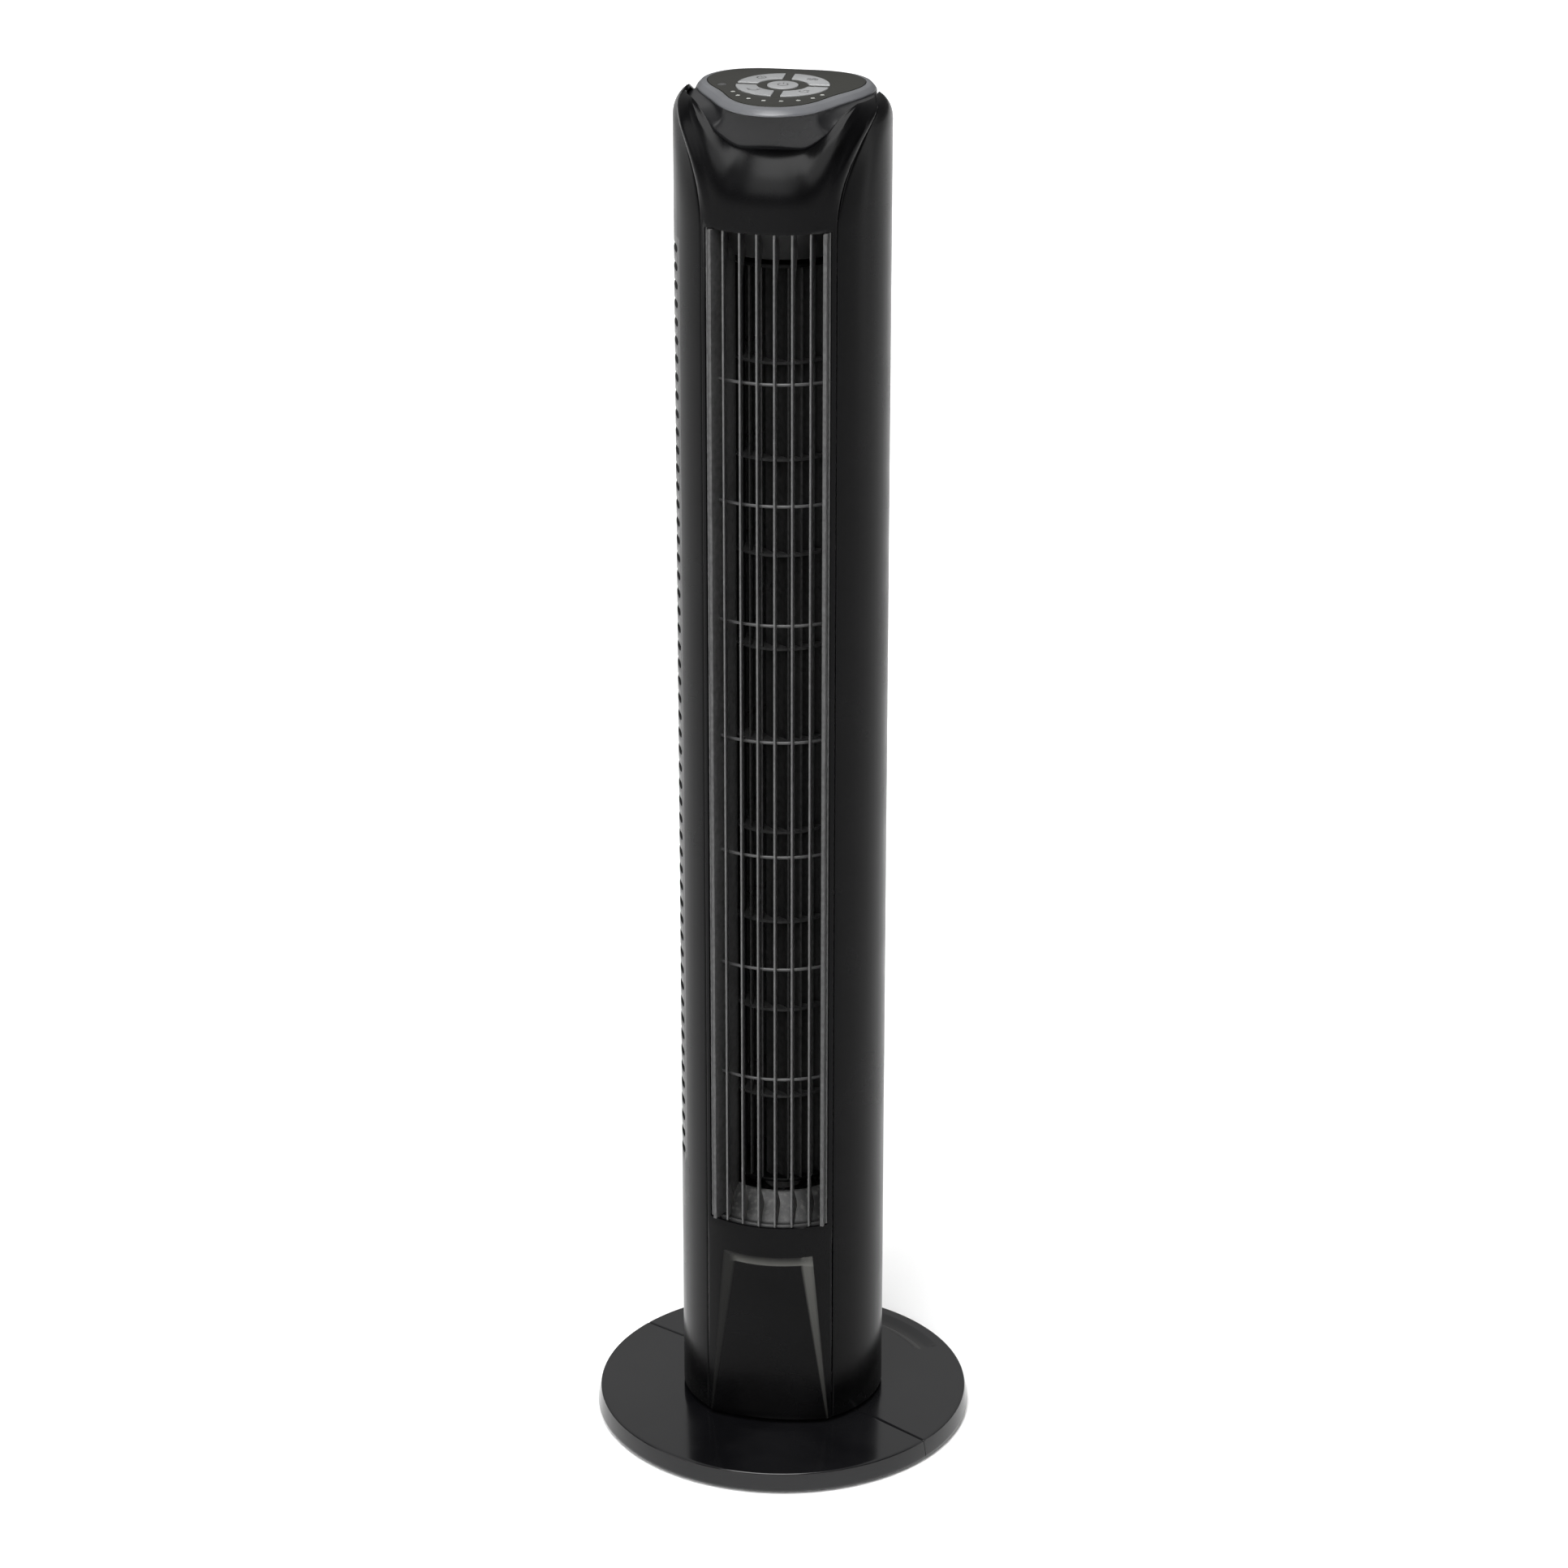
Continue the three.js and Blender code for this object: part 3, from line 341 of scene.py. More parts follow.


# Cloudy colour, a painted highlight where a part carries one, lighter rubbed edges, dust on what faces up,
# uneven gloss and a fine moulded grain.
def material(name):
    if name in madeMaterials:
        return madeMaterials[name]
    look = finishes[name]
    made = bpy.data.materials.new(name)
    made.use_nodes = True
    tree = made.node_tree
    shader = tree.nodes["Principled BSDF"]
    coords = tree.nodes.new("ShaderNodeTexCoord")
    shape = tree.nodes.new("ShaderNodeNewGeometry")
    stretch = look.get("brush", 1)
    cloud = noiseOf(tree, coords, noiseSizes["cloud"], 4, stretch)
    speck = noiseOf(tree, coords, noiseSizes["speck"], 6, stretch)
    grain = noiseOf(tree, coords, look["grain"], 3, stretch)

    color = mixColor(tree, spread(tree, cloud, 0.35, 0.65, 0, 1), look["color"], look["second"])
    # Painted highlight: the part's highlight mask lightens the colour towards a paler tone.
    if "paintedHighlight" in look:
        paintedHighlightMask = tree.nodes.new("ShaderNodeAttribute")
        paintedHighlightMask.attribute_name = "paintedHighlight"
        color = mixColor(tree, paintedHighlightMask.outputs["Fac"], color, look["paintedHighlight"])
    if look["wear"]:
        rubbed = times(tree, spread(tree, shape.outputs["Pointiness"], 0.53, 0.64, 0, 1), speck)
        paler = tuple(min(1, c + look["wear"] * 3) for c in look["second"])
        color = mixColor(tree, rubbed, color, paler)
    rough = spread(tree, cloud, 0.3, 0.7, look["rough"] - look["spread"], look["rough"] + look["spread"])
    if "dust" in look:
        upright = tree.nodes.new("ShaderNodeSeparateXYZ")
        link(tree, shape.outputs["Normal"], upright.inputs["Vector"])
        upward = spread(tree, upright.outputs["Z"], 0.5, 1, 0, 1)
        dust = times(tree, times(tree, upward, spread(tree, speck, 0.5, 0.75, 0, 1)), look["dust"] * 4)
        color = mixColor(tree, dust, color, dustColor)
    link(tree, color, shader.inputs["Base Color"])
    link(tree, rough, shader.inputs["Roughness"])
    bump = tree.nodes.new("ShaderNodeBump")
    bump.inputs["Strength"].default_value = bumpStrength
    bump.inputs["Distance"].default_value = look["relief"] * mm
    link(tree, grain, bump.inputs["Height"])
    link(tree, bump.outputs["Normal"], shader.inputs["Normal"])
    shader.inputs["Metallic"].default_value = look.get("metal", 0)
    shader.inputs["Specular IOR Level"].default_value = look["specular"]
    madeMaterials[name] = made
    return made


# Camera.
view = {"distance": 2.275, "height": 1.3123, "azimuth": 9.3, "pitch": 22.31, "lens": 104.85, "shift": 0.0007}
cameraData = bpy.data.cameras.new("viewCamera")
cameraData.lens = view["lens"]
cameraData.sensor_width = 36
cameraData.clip_end = 40
camera = bpy.data.objects.new("viewCamera", cameraData)
bpy.context.scene.collection.objects.link(camera)
azimuth = math.radians(view["azimuth"])
standsAt = (view["distance"] * math.sin(azimuth), -view["distance"] * math.cos(azimuth))
camera.location = (*standsAt, view["height"])
camera.rotation_euler = (math.radians(90 - view["pitch"]), 0, azimuth)
cameraData.shift_x = view["shift"]
bpy.context.scene.camera = camera
print("camera placed")

# Main sizes, from the frame.
rearLow, rearHigh = span("rear_cover")
frontHigh = span("front_cover")[1]
grilleLow, grilleHigh = span("outlet_grille")
body = {
    "radius": rearHigh[1],
    "bottom": rearLow[2],
    "collarTop": frontHigh[2],
    "proud": 0.6,        # front cover in front of the rear cover
    "groove": 0.45,      # half of the dark line between the covers
    "frontDip": 21,      # collar below its peaks, in front
    "backDip": 15,
    "lipInset": 7,       # lip inside the wall, at the sides and behind
    "lipFront": 41.5,    # the lip's radius in front, where it curls further in
    "flatFront": 40.2,   # the lip keeps outside this plane, just off the head's flat front
    "crownFront": 28,
    "crownSide": 13,
    "curl": 64 * degree,  # how far the wall turns in by the time it reaches the lip
    "wall": 1.5,
}
outlet = {"bottom": grilleLow[2] + 4, "top": grilleHigh[2] - 4, "half": 32.6}
seam = {"half": 34.5, "flare": body["radius"] - 34.8, "power": 1.8}


# Angle away from the front, without its sign.
def fromFront(angle):
    return np.abs((angle + math.pi) % (2 * math.pi) - math.pi)


# Collar's edge: low in front, highest at the sides, lower behind.
def edgeHeight(angle):
    away = fromFront(angle)
    front = body["frontDip"] * (1 - smooth(away, 20 * degree, 56 * degree))
    back = body["backDip"] * smooth(away, 90 * degree, 125 * degree)
    return body["collarTop"] - front - back


# Height over which the wall turns in to the lip: more in front than at the sides.
def crownDrop(angle):
    share = 1 - smooth(fromFront(angle), 20 * degree, 70 * degree)
    return body["crownSide"] + (body["crownFront"] - body["crownSide"]) * share


# Half width of the front cover at a height: even beside the outlet, then half + flare * share^power.
def seamHalf(height):
    share = np.clip((height - outlet["top"]) / (body["collarTop"] - outlet["top"]), 0, 1)
    return seam["half"] + seam["flare"] * share ** seam["power"]


# Angle of the seam from the front at a height.
def seamAngle(height):
    return np.arcsin(np.clip(seamHalf(height) / body["radius"], 0, 0.998))


# Inset of the lip: deeper in front, where it follows the head's flat face as far as the round wall.
def lipInset(angle):
    flat = body["flatFront"] / np.cos(np.minimum(fromFront(angle), 1))
    return body["radius"] - np.clip(flat, body["lipFront"], body["radius"] - body["lipInset"])


# Radius and height on a shell: rise 0..1 climbs the wall, 1..2 follows an ellipse in to the lip.
def shellPoint(rise, angle, straightLow, radius):
    start = edgeHeight(angle) - crownDrop(angle)
    climb = np.clip(rise, 0, 1)
    curl = np.clip(rise - 1, 0, 1) * body["curl"]
    lift = np.sin(curl) / math.sin(body["curl"])
    inward = (1 - np.cos(curl)) / (1 - math.cos(body["curl"]))
    height = straightLow + (start - straightLow) * climb + crownDrop(angle) * lift
    return radius - lipInset(angle) * inward, height


# How far a cover's edge rolls in at distance d from the seam: a quarter circle of radius w.
def edgeRoll(distance, width):
    inside = np.clip(1 - distance / width, 0, 1)
    return width * (1 - np.sqrt(1 - inside**2))


# Sizes of the recess at the foot of the front cover.
recess = {
    "footOuter": 33.4, "footInner": 32.2, "topOuter": 24.9, "topInner": 18.0,
    "outerTop": 121.0, "innerTop": 114.0, "footDepth": 4.9, "topDepth": 3.0,
}


# Half widths of the recess at a height: both outlines narrow evenly, each up to its own top.
def recessEdges(height):
    innerShare = np.clip((height - body["bottom"]) / (recess["innerTop"] - body["bottom"]), 0, 1)
    outerShare = np.clip((height - body["bottom"]) / (recess["outerTop"] - body["bottom"]), 0, 1)
    inner = recess["footInner"] + (recess["topInner"] - recess["footInner"]) * innerShare
    outer = recess["footOuter"] + (recess["topOuter"] - recess["footOuter"]) * outerShare
    return inner, outer


# The lower front, sunk: a flatter face inside the inner outline, with bevels out to the outer one.
def sinkFront(x, height, surface):
    share = np.clip((height - body["bottom"]) / (recess["innerTop"] - body["bottom"]), 0, 1.08)
    inner, outer = recessEdges(height)
    radius = body["radius"] + body["proud"]
    middle = radius - (recess["footDepth"] + (recess["topDepth"] - recess["footDepth"]) * share)
    edge = np.sqrt(radius**2 - inner**2) - recess["topDepth"] * share
    face = middle - (middle - edge) * (x / inner) ** 2
    sideShare = (outer - np.abs(x)) / np.maximum(outer - inner, 0.4)
    topShare = (recess["outerTop"] - height) / (recess["outerTop"] - recess["innerTop"])
    cut = np.clip(np.minimum(sideShare, topShare), 0, 1)
    return surface * (1 - cut) + face * cut


# Painted highlight on the recess's bevels, lighter where light falls on them: strongest at the top, less on
# the right and least on the left.
def paintBevelHighlights(mesh):
    spots = np.empty(len(mesh.vertices) * 3)
    mesh.vertices.foreach_get("co", spots)
    x, _, height = spots.reshape(-1, 3).T / mm
    inner, outer = recessEdges(height)
    across = np.minimum(np.clip((np.abs(x) - inner) / 0.5, 0, 1), np.clip((outer - np.abs(x)) / 0.5, 0, 1))
    up = np.clip((height - recess["innerTop"]) / 0.7, 0, 1)
    down = np.clip((recess["outerTop"] - height) / (recess["outerTop"] - recess["innerTop"] - 1), 0.15, 1)
    top = np.minimum(up * down, np.clip((x + inner + 3) / 5, 0, 1) * np.clip((outer - x) / 0.5, 0, 1))
    fade = np.clip(0.25 + 0.75 * (height - body["bottom"]) / (recess["innerTop"] - body["bottom"]), 0, 1)
    side = across * np.where(x > 0, 0.7, 0.12) * fade
    weight = np.where(height < recess["outerTop"] - 0.2, np.maximum(side, top), 0)
    paintedHighlight = mesh.attributes.new("paintedHighlight", "FLOAT", "POINT")
    paintedHighlight.data.foreach_set("value", weight)


coverEdge = {"roll": 0.6, "armRoll": 1.5, "ridge": 1.3, "ridgeWidth": 10, "liftOver": 30, "bevel": 0.4,
             "fadeFrom": 1.1, "fadeTo": 1.75}
settleSteps = 40  # rounds in which a column's angle settles on the seam
coverColumns = {"bevelIn": 0.76, "bevelOut": 0.88}  # shares of the half width that follow the recess's bevels


# The cover's wall: columns are shares of the half width and rows are heights. Beside the recess the columns
# move on to its outlines. Above the outlet the columns follow the seam outwards as the wall climbs and
# curls in, with a raised ridge along each arm.
def frontCover():
    radius = body["radius"] + body["proud"]
    arc = radius * seamAngle(0.0)
    holeAt = math.asin(outlet["half"] / radius) / float(seamAngle(0.0))
    edgeSteps = 1 - np.array([0, 0.1, 0.3, 0.6, 1.0, 1.5]) / arc
    bevelOut, bevelIn = coverColumns["bevelOut"], coverColumns["bevelIn"]
    half = np.concatenate([np.linspace(0, bevelIn - 0.02, 16), [bevelIn - 0.008, bevelIn, 0.79, 0.82, 0.85],
                           [bevelOut - 0.006, bevelOut, 0.9, holeAt], edgeSteps[::-1]])
    across = np.concatenate([-half[:0:-1], half])
    nearTop = recess["innerTop"] + np.array([-0.7, 0, 0.7, 2, 3.6, 5.2, 6.4, 7, 7.6, 9, 12, 16, 20])
    faceRows = np.linspace(body["bottom"], recess["innerTop"] - 1.5, 22)
    lowRows = np.concatenate([faceRows, nearTop, [outlet["bottom"]]])
    holeRows = np.linspace(outlet["bottom"], outlet["top"], 30)[1:]
    climb = np.concatenate([np.linspace(0, 1, 9)[1:], 1 + np.linspace(0, 1, 19)[1:]])

    straight = np.concatenate([lowRows, holeRows])
    height = np.repeat(straight[:, None], len(across), 1)
    uniformX = radius * np.sin(np.abs(across) * seamAngle(0.0))[None] * np.ones_like(height)
    innerX, outerX = recessEdges(height)
    s = np.abs(across)[None] * np.ones_like(height)
    limit = radius * math.sin(float(seamAngle(0.0)))
    warped = np.where(
        s < bevelIn, innerX * s / bevelIn,
        np.where(s < bevelOut, innerX + (outerX - innerX) * (s - bevelIn) / (bevelOut - bevelIn),
                 outerX + (limit - outerX) * (s - bevelOut) / (1 - bevelOut)))
    blend = 1 - smooth(height, recess["outerTop"] + 1, outlet["bottom"] - 1)
    x = (uniformX * (1 - blend) + warped * blend) * np.sign(across)
    surface = np.sqrt(radius**2 - x**2)
    surface = np.where(height < recess["outerTop"], sinkFront(x, height, surface), surface)
    away = (1 - np.abs(across)) * arc
    shrink = 1 - edgeRoll(away, coverEdge["roll"])[None] / radius
    lower = np.stack([x * shrink, -surface * shrink, height], -1)

    rise = climb[:, None] * np.ones(len(across))
    angle = across[None] * seamAngle(outlet["top"]) * np.ones_like(rise)
    for _ in range(settleSteps):
        ringRadius, ringHeight = shellPoint(rise, angle, outlet["top"], radius)
        angle = 0.5 * angle + 0.5 * across[None] * seamAngle(ringHeight)
    lift = smooth(ringHeight, outlet["top"], outlet["top"] + coverEdge["liftOver"])
    near = np.clip(away / coverEdge["ridgeWidth"], 0, 1)[None]
    fade = 1 - smooth(rise, coverEdge["fadeFrom"], coverEdge["fadeTo"])
    ridge = coverEdge["ridge"] * lift * fade * np.sin(math.pi * np.clip(near * 1.15, 0, 1)) ** 2
    roll = edgeRoll(away[None], coverEdge["roll"] + coverEdge["armRoll"] * lift * fade)
    ringRadius = ringRadius + ridge - roll
    upper = np.stack([ringRadius * np.sin(angle), -ringRadius * np.cos(angle), ringHeight], -1)

    points = np.concatenate([lower, upper])
    rows, columns = points.shape[:2]
    keep = np.ones((rows - 1, columns - 1), bool)
    inHole = np.abs(across[:-1] + across[1:]) / 2 < holeAt
    keep[len(lowRows) - 1:len(straight) - 1][:, inHole] = False
    wall = faceAway(sheetOf(points, keep=keep))
    piece = makePiece("front_cover_shell", wall, "tower", "coverBlack", ["front_cover"],
                      closed=False, crease=24)
    # Painted highlight on the recess's bevels.
    paintBevelHighlights(piece.data)
    addWall(piece, body["wall"])
    addBevel(piece, coverEdge["bevel"], 2, 50)
    print("front cover made")


inlet = {"rows": 53, "low": 164.0, "high": 682.0, "slot": 4.2, "right": 104 * degree, "left": 65 * degree,
         "columns": 4, "rib": 5 * degree}
rearEdge = {"roll": 0.7, "armRoll": 1.2, "sunk": 1.2, "sunkOver": 22, "wall": 2.0, "bevel": 0.3}


# The rear cover's wall: columns run from seam to seam and rows are heights. Two rows bound each line of
# slots and close on each other at the slots' rounded tips. Above the outlet the columns follow the seam.
def rearCover():
    radius = body["radius"]
    seam0 = float(seamAngle(0.0)) + 2 * body["groove"] / radius
    pitch = (2 * math.pi - inlet["right"] - inlet["left"] + inlet["rib"]) / inlet["columns"]
    starts = inlet["right"] + np.arange(inlet["columns"]) * pitch
    length = pitch - inlet["rib"]
    tip = inlet["slot"] / 2 / radius
    tipSteps = tip * np.array([0, 0.12, 0.4, 1.0])
    oneSlot = np.concatenate([tipSteps, np.linspace(tip, length - tip, 13)[1:-1], length - tipSteps[::-1]])
    slotAngles = np.concatenate([s + oneSlot for s in starts])
    edge = seam0 + np.array([0, 0.12, 0.35, 0.8, 1.6, 3, 5.5]) / radius
    rightSide = np.concatenate([edge, np.linspace(edge[-1], inlet["right"], 14)[1:-1]])
    leftSide = np.concatenate([edge, np.linspace(edge[-1], inlet["left"], 6)[1:-1]])
    angles = np.concatenate([rightSide, slotAngles, 2 * math.pi - leftSide[::-1]])
    share = (angles - seam0) / (2 * math.pi - 2 * seam0)

    # 1 along a slot, falling to a small value at its rounded tips
    phase = (slotAngles[:, None] - starts[None])
    inThis = (phase > -1e-9) & (phase < length + 1e-9)
    depthIn = np.where(inThis, np.minimum(phase, length - phase), 0).max(axis=1)
    cap = np.sqrt(np.clip(1 - (1 - np.clip(depthIn / tip, 0, 1)) ** 2, 0.05, 1))
    openness = np.concatenate([np.ones(len(rightSide)), cap, np.ones(len(leftSide))])

    middles = np.linspace(inlet["low"] + inlet["slot"] / 2, inlet["high"] - inlet["slot"] / 2, inlet["rows"])
    halfSlot = np.array([-0.5, 0.5])[None, :, None] * inlet["slot"] * openness[None, None]
    slotLines = (middles[:, None, None] + halfSlot).reshape(-1, len(angles))
    below = np.linspace(body["bottom"], inlet["low"] - 6, 8)[:, None] * np.ones(len(angles))
    above = np.array([inlet["high"] + 5, outlet["top"]])[:, None] * np.ones(len(angles))
    height = np.concatenate([below, slotLines, above])
    away = np.minimum(angles - seam0, 2 * math.pi - seam0 - angles) * radius
    roll = edgeRoll(away, rearEdge["roll"])
    ring = (radius - roll[None]) * np.ones_like(height)
    lower = np.stack([ring * np.sin(angles), -ring * np.cos(angles), height], -1)

    climb = np.concatenate([np.linspace(0, 1, 7)[1:], 1 + np.linspace(0, 1, 15)[1:]])
    rise = climb[:, None] * np.ones(len(angles))
    angle = np.broadcast_to(angles[None], rise.shape)
    for _ in range(settleSteps):
        ringRadius, ringHeight = shellPoint(rise, angle, outlet["top"], radius)
        begin = seamAngle(ringHeight) + 2 * body["groove"] / radius
        angle = 0.5 * angle + 0.5 * (begin + share[None] * (2 * math.pi - 2 * begin))
    lift = smooth(ringHeight, outlet["top"], outlet["top"] + coverEdge["liftOver"])
    lift = lift * (1 - smooth(rise, coverEdge["fadeFrom"], coverEdge["fadeTo"]))
    sunk = rearEdge["sunk"] * lift * (1 - smooth(away, 2, rearEdge["sunkOver"]))[None]
    ringRadius = ringRadius - edgeRoll(away[None], rearEdge["roll"] + rearEdge["armRoll"] * lift) - sunk
    upper = np.stack([ringRadius * np.sin(angle), -ringRadius * np.cos(angle), ringHeight], -1)

    points = np.concatenate([lower, upper])
    rows, columns = points.shape[:2]
    keep = np.ones((rows - 1, columns - 1), bool)
    between = (angles[:-1] + angles[1:]) / 2
    inSlot = ((between[:, None] > starts) & (between[:, None] < starts + length)).any(axis=1)
    slotRows = len(below) + np.arange(inlet["rows"]) * 2
    keep[np.ix_(slotRows, np.where(inSlot)[0])] = False
    wall = faceAway(sheetOf(points, keep=keep))
    piece = makePiece("rear_cover_shell", wall, "tower", "satinBlack", ["rear_cover"],
                      closed=False, crease=30)
    addWall(piece, rearEdge["wall"])
    addBevel(piece, rearEdge["bevel"], 1, 50)
    print("rear cover made")


frontCover()
rearCover()

grille = {"fins": 8, "pitch": 9.0, "width": 1.3, "depth": 5.0, "rails": 7, "railTop": outlet["top"] - 80,
          "railPitch": 65.35, "railHeight": 1.8, "railRadius": 50.6, "railThick": 1.6, "railReach": 0.65,
          "frameOut": 52.2, "frameIn": 49.9, "barRadius": 51, "barThick": 2.2, "barHeight": 3.8}
duct = {"outer": 49.3, "ledge": 34.0, "rise": 13.6, "fall": 20.0, "skirt": 14.8, "wall": 2.2,
        "slack": 0.4, "guideWall": 1.8}


# Radius of the duct's end ramps at a height, between the outlet's edge and the round well.
def rampRadius(height):
    low = np.clip((height - outlet["bottom"]) / duct["rise"], 0, 1)
    high = np.clip((outlet["top"] - height) / duct["fall"], 0, 1)
    return duct["outer"] - (duct["outer"] - duct["ledge"]) * np.minimum(low, high)


# One upright fin: a rounded strip whose back edge reaches further in at both ends, to meet the ramps.
def fin(x):
    low, high = outlet["bottom"] + 0.3, outlet["top"] - 0.3
    ends = np.linspace(0, 34, 18)
    height = np.concatenate([low + ends, np.linspace(low + 34, high - 34, 12)[1:-1], high - ends[::-1]])
    radius = body["radius"] - 0.4
    front = math.sqrt(radius**2 - x**2)
    deepen = np.maximum(1 - smooth(height, low + 4, low + 24), smooth(height, high - 30, high - 8))
    back = front - grille["depth"] - 11 * deepen
    ramp = np.sqrt(np.maximum(rampRadius(height) ** 2 - x**2, 0))
    back = np.maximum(back, ramp - 0.8)
    w = grille["width"] / 2
    turn = np.linspace(0, math.pi, 7)
    plan = np.concatenate([np.stack([w * np.cos(turn), w * np.sin(turn)], -1), [[-w, 0], [w, 0]]])
    flag = np.concatenate([np.ones(7), [0, 0]])
    y = np.where(flag[None] > 0, -(front - w) - plan[None, :, 1], -back[:, None])
    xs = np.broadcast_to(x + plan[None, :, 0], y.shape)
    return loft(np.stack([xs, y, np.broadcast_to(height[:, None], y.shape)], -1))


# A level bar of rounded section bent to the grille's curve.
def levelBar(height, radius, thick, tall, reach):
    angle = np.linspace(-reach, reach, 33)
    turn = np.linspace(0, 2 * math.pi, 12, endpoint=False)
    r = radius + thick / 2 * np.cos(turn)[None] * np.ones((33, 1))
    z = height + tall / 2 * np.sin(turn)[None] * np.ones((33, 1))
    return loft(np.stack([r * np.sin(angle)[:, None], -r * np.cos(angle)[:, None], z], -1))


# An upright strip of the frame beside the opening.
def frameStile(side):
    angle = np.array([0.674, 0.69, 0.71, 0.73]) * side
    arc = np.stack([np.sin(angle), -np.cos(angle)], -1)
    plan = np.concatenate([grille["frameOut"] * arc, grille["frameIn"] * arc[::-1]])
    return prism(plan, outlet["bottom"] - 4, outlet["top"] + 4)


# The grille: fins, level rails between them, and a frame of two stiles and two bars.
def outletGrille():
    places = (np.arange(grille["fins"]) - (grille["fins"] - 1) / 2) * grille["pitch"]
    parts = [fin(x) for x in places]
    levels = grille["railTop"] - np.arange(grille["rails"]) * grille["railPitch"]
    rail = (grille["railRadius"], grille["railThick"], grille["railHeight"], grille["railReach"])
    bar = (grille["barRadius"], grille["barThick"], grille["barHeight"], 0.7)
    parts += [levelBar(level, *rail) for level in levels]
    parts += [frameStile(-1), frameStile(1)]
    parts += [levelBar(level, *bar) for level in (outlet["bottom"] - 2, outlet["top"] + 2)]
    makePiece("outlet_grille_bars", together(*parts), "tower", "finBlack", ["outlet_grille"])
    print("grille made")


outletGrille()


guides = {
    "air_guide": [[29.6, -50], [31.6, -36], [37.7, -10.1], [36.4, 6.4], [29.1, 20.4], [17, 29.4]],
    "cutoff_tongue": [[-29.6, -50], [-24.6, -38], [-21.1, -27], [-30.6, -20], [-42.6, -19]],
}


# The duct's two funnels, turned from closed sections, and its two upright walls.
def ductPieces():
    outer, ledge, wall, skirt = duct["outer"], duct["ledge"], duct["wall"], duct["skirt"]
    low, high = outlet["bottom"], outlet["top"]
    bottom = rounded([[11, low - skirt], [ledge + wall, low - skirt, 1], [ledge + wall, low + 9.5],
                      [outer - wall, low - wall], [outer - wall, low - skirt], [outer, low - skirt],
                      [outer, low, 1.5], [ledge, low + duct["rise"], 2.5],
                      [ledge, low - skirt + wall, 1], [11, low - skirt + wall]])
    lid = span("duct_top")[1][2]
    well = span("bearing_mount")[0][2] + 4
    top = rounded([[13, well], [ledge, well, 1], [ledge, high - duct["fall"], 2.5], [outer, high, 1.5],
                   [outer, lid], [outer - wall, lid], [outer - wall, high + 0.5],
                   [ledge + wall, high - duct["fall"] + 5], [ledge + wall, well + wall, 1],
                   [13, well + wall]])
    for name, section in (("duct_bottom", bottom), ("duct_top", top)):
        makePiece(name + "_funnel", lathe(section, 120), "tower", "ductBlack", [name])
    for name, points in guides.items():
        makePiece(name + "_wall", ductWall(points), "tower", "ductBlack", [name])


# A smooth wall through plan points (Catmull-Rom), its ends cut to the slope of the ramps.
def ductWall(points):
    spots = np.array(points, float)
    padded = np.concatenate([2 * spots[:1] - spots[1:2], spots, 2 * spots[-1:] - spots[-2:-1]])
    t = np.linspace(0, len(spots) - 1 - 1e-9, 40)
    k = t.astype(int)
    u = (t - k)[:, None]
    a, b, c, d = (padded[k + i] for i in range(4))
    line = 0.5 * (2 * b + (c - a) * u + (2 * a - 5 * b + 4 * c - d) * u**2 + (3 * b - a - 3 * c + d) * u**3)
    aside = squareTo(np.gradient(line, axis=0)) * duct["guideWall"] / 2
    radius = np.clip(np.hypot(*line.T), duct["ledge"], duct["outer"])
    slope = (duct["outer"] - radius) / (duct["outer"] - duct["ledge"])
    low = outlet["bottom"] + duct["slack"] + duct["rise"] * slope
    high = outlet["top"] - duct["slack"] - duct["fall"] * slope
    corner = [np.column_stack([line + aside, low]), np.column_stack([line + aside, high]),
              np.column_stack([line - aside, high]), np.column_stack([line - aside, low])]
    return loft(np.stack(corner, 1))


impellerLow, impellerHigh = span("impeller")
wheel = {"radius": impellerHigh[0], "low": impellerLow[2], "high": impellerHigh[2], "blades": 26, "hoops": 9,
         "inner": 22.0, "thick": 0.9, "hoop": 1.4, "disc": 2, "cup": 12, "cupRadius": 9, "bore": 4.4}


# One blade: an arc in plan from the inner to the outer circle, leaning forward, carried up the wheel.
def blade(turn):
    t = np.linspace(0, 1, 6)
    radius = wheel["inner"] + (wheel["radius"] - 0.4 - wheel["inner"]) * t
    angle = turn + 0.34 * t - 0.3 * t**2 + 0.22 * t
    middle = np.stack([radius * np.sin(angle), -radius * np.cos(angle)], -1)
    aside = squareTo(np.gradient(middle, axis=0)) * wheel["thick"] / 2
    plan = np.concatenate([middle + aside, (middle - aside)[::-1]])
    return prism(plan, wheel["low"] + 1, wheel["high"] - 1)


# The wheel: hoops round the blades, a lower disc, and an upper disc with a cup for the rubber coupling.
def impeller():
    outer, low, high = wheel["radius"], wheel["low"], wheel["high"]
    levels = np.linspace(low, high, wheel["hoops"] + 2)[1:-1]
    half = wheel["hoop"] / 2
    parts = [lathe([[wheel["inner"] - 1, z - half], [outer, z - half], [outer, z + half],
                    [wheel["inner"] - 1, z + half]], 64) for z in levels]
    discTop = low + wheel["disc"]
    floor = rounded([[0, low], [outer, low, 0.5], [outer, discTop, 0.5], [0, discTop]])
    cupFloor = high - wheel["cup"]
    lid = rounded([[wheel["bore"], high], [wheel["bore"], cupFloor + 3], [0, cupFloor + 3], [0, cupFloor],
                   [wheel["cupRadius"], cupFloor, 0.5], [wheel["cupRadius"], high - wheel["disc"]],
                   [outer, high - wheel["disc"], 0.5], [outer, high, 0.5]])
    parts += [lathe(floor, 64), lathe(lid, 64)]
    parts += [blade(2 * math.pi * i / wheel["blades"]) for i in range(wheel["blades"])]
    makePiece("impeller_wheel", together(*parts), "rotor", "wheelBlack", ["impeller"])
    print("duct and impeller made")


ductPieces()
impeller()

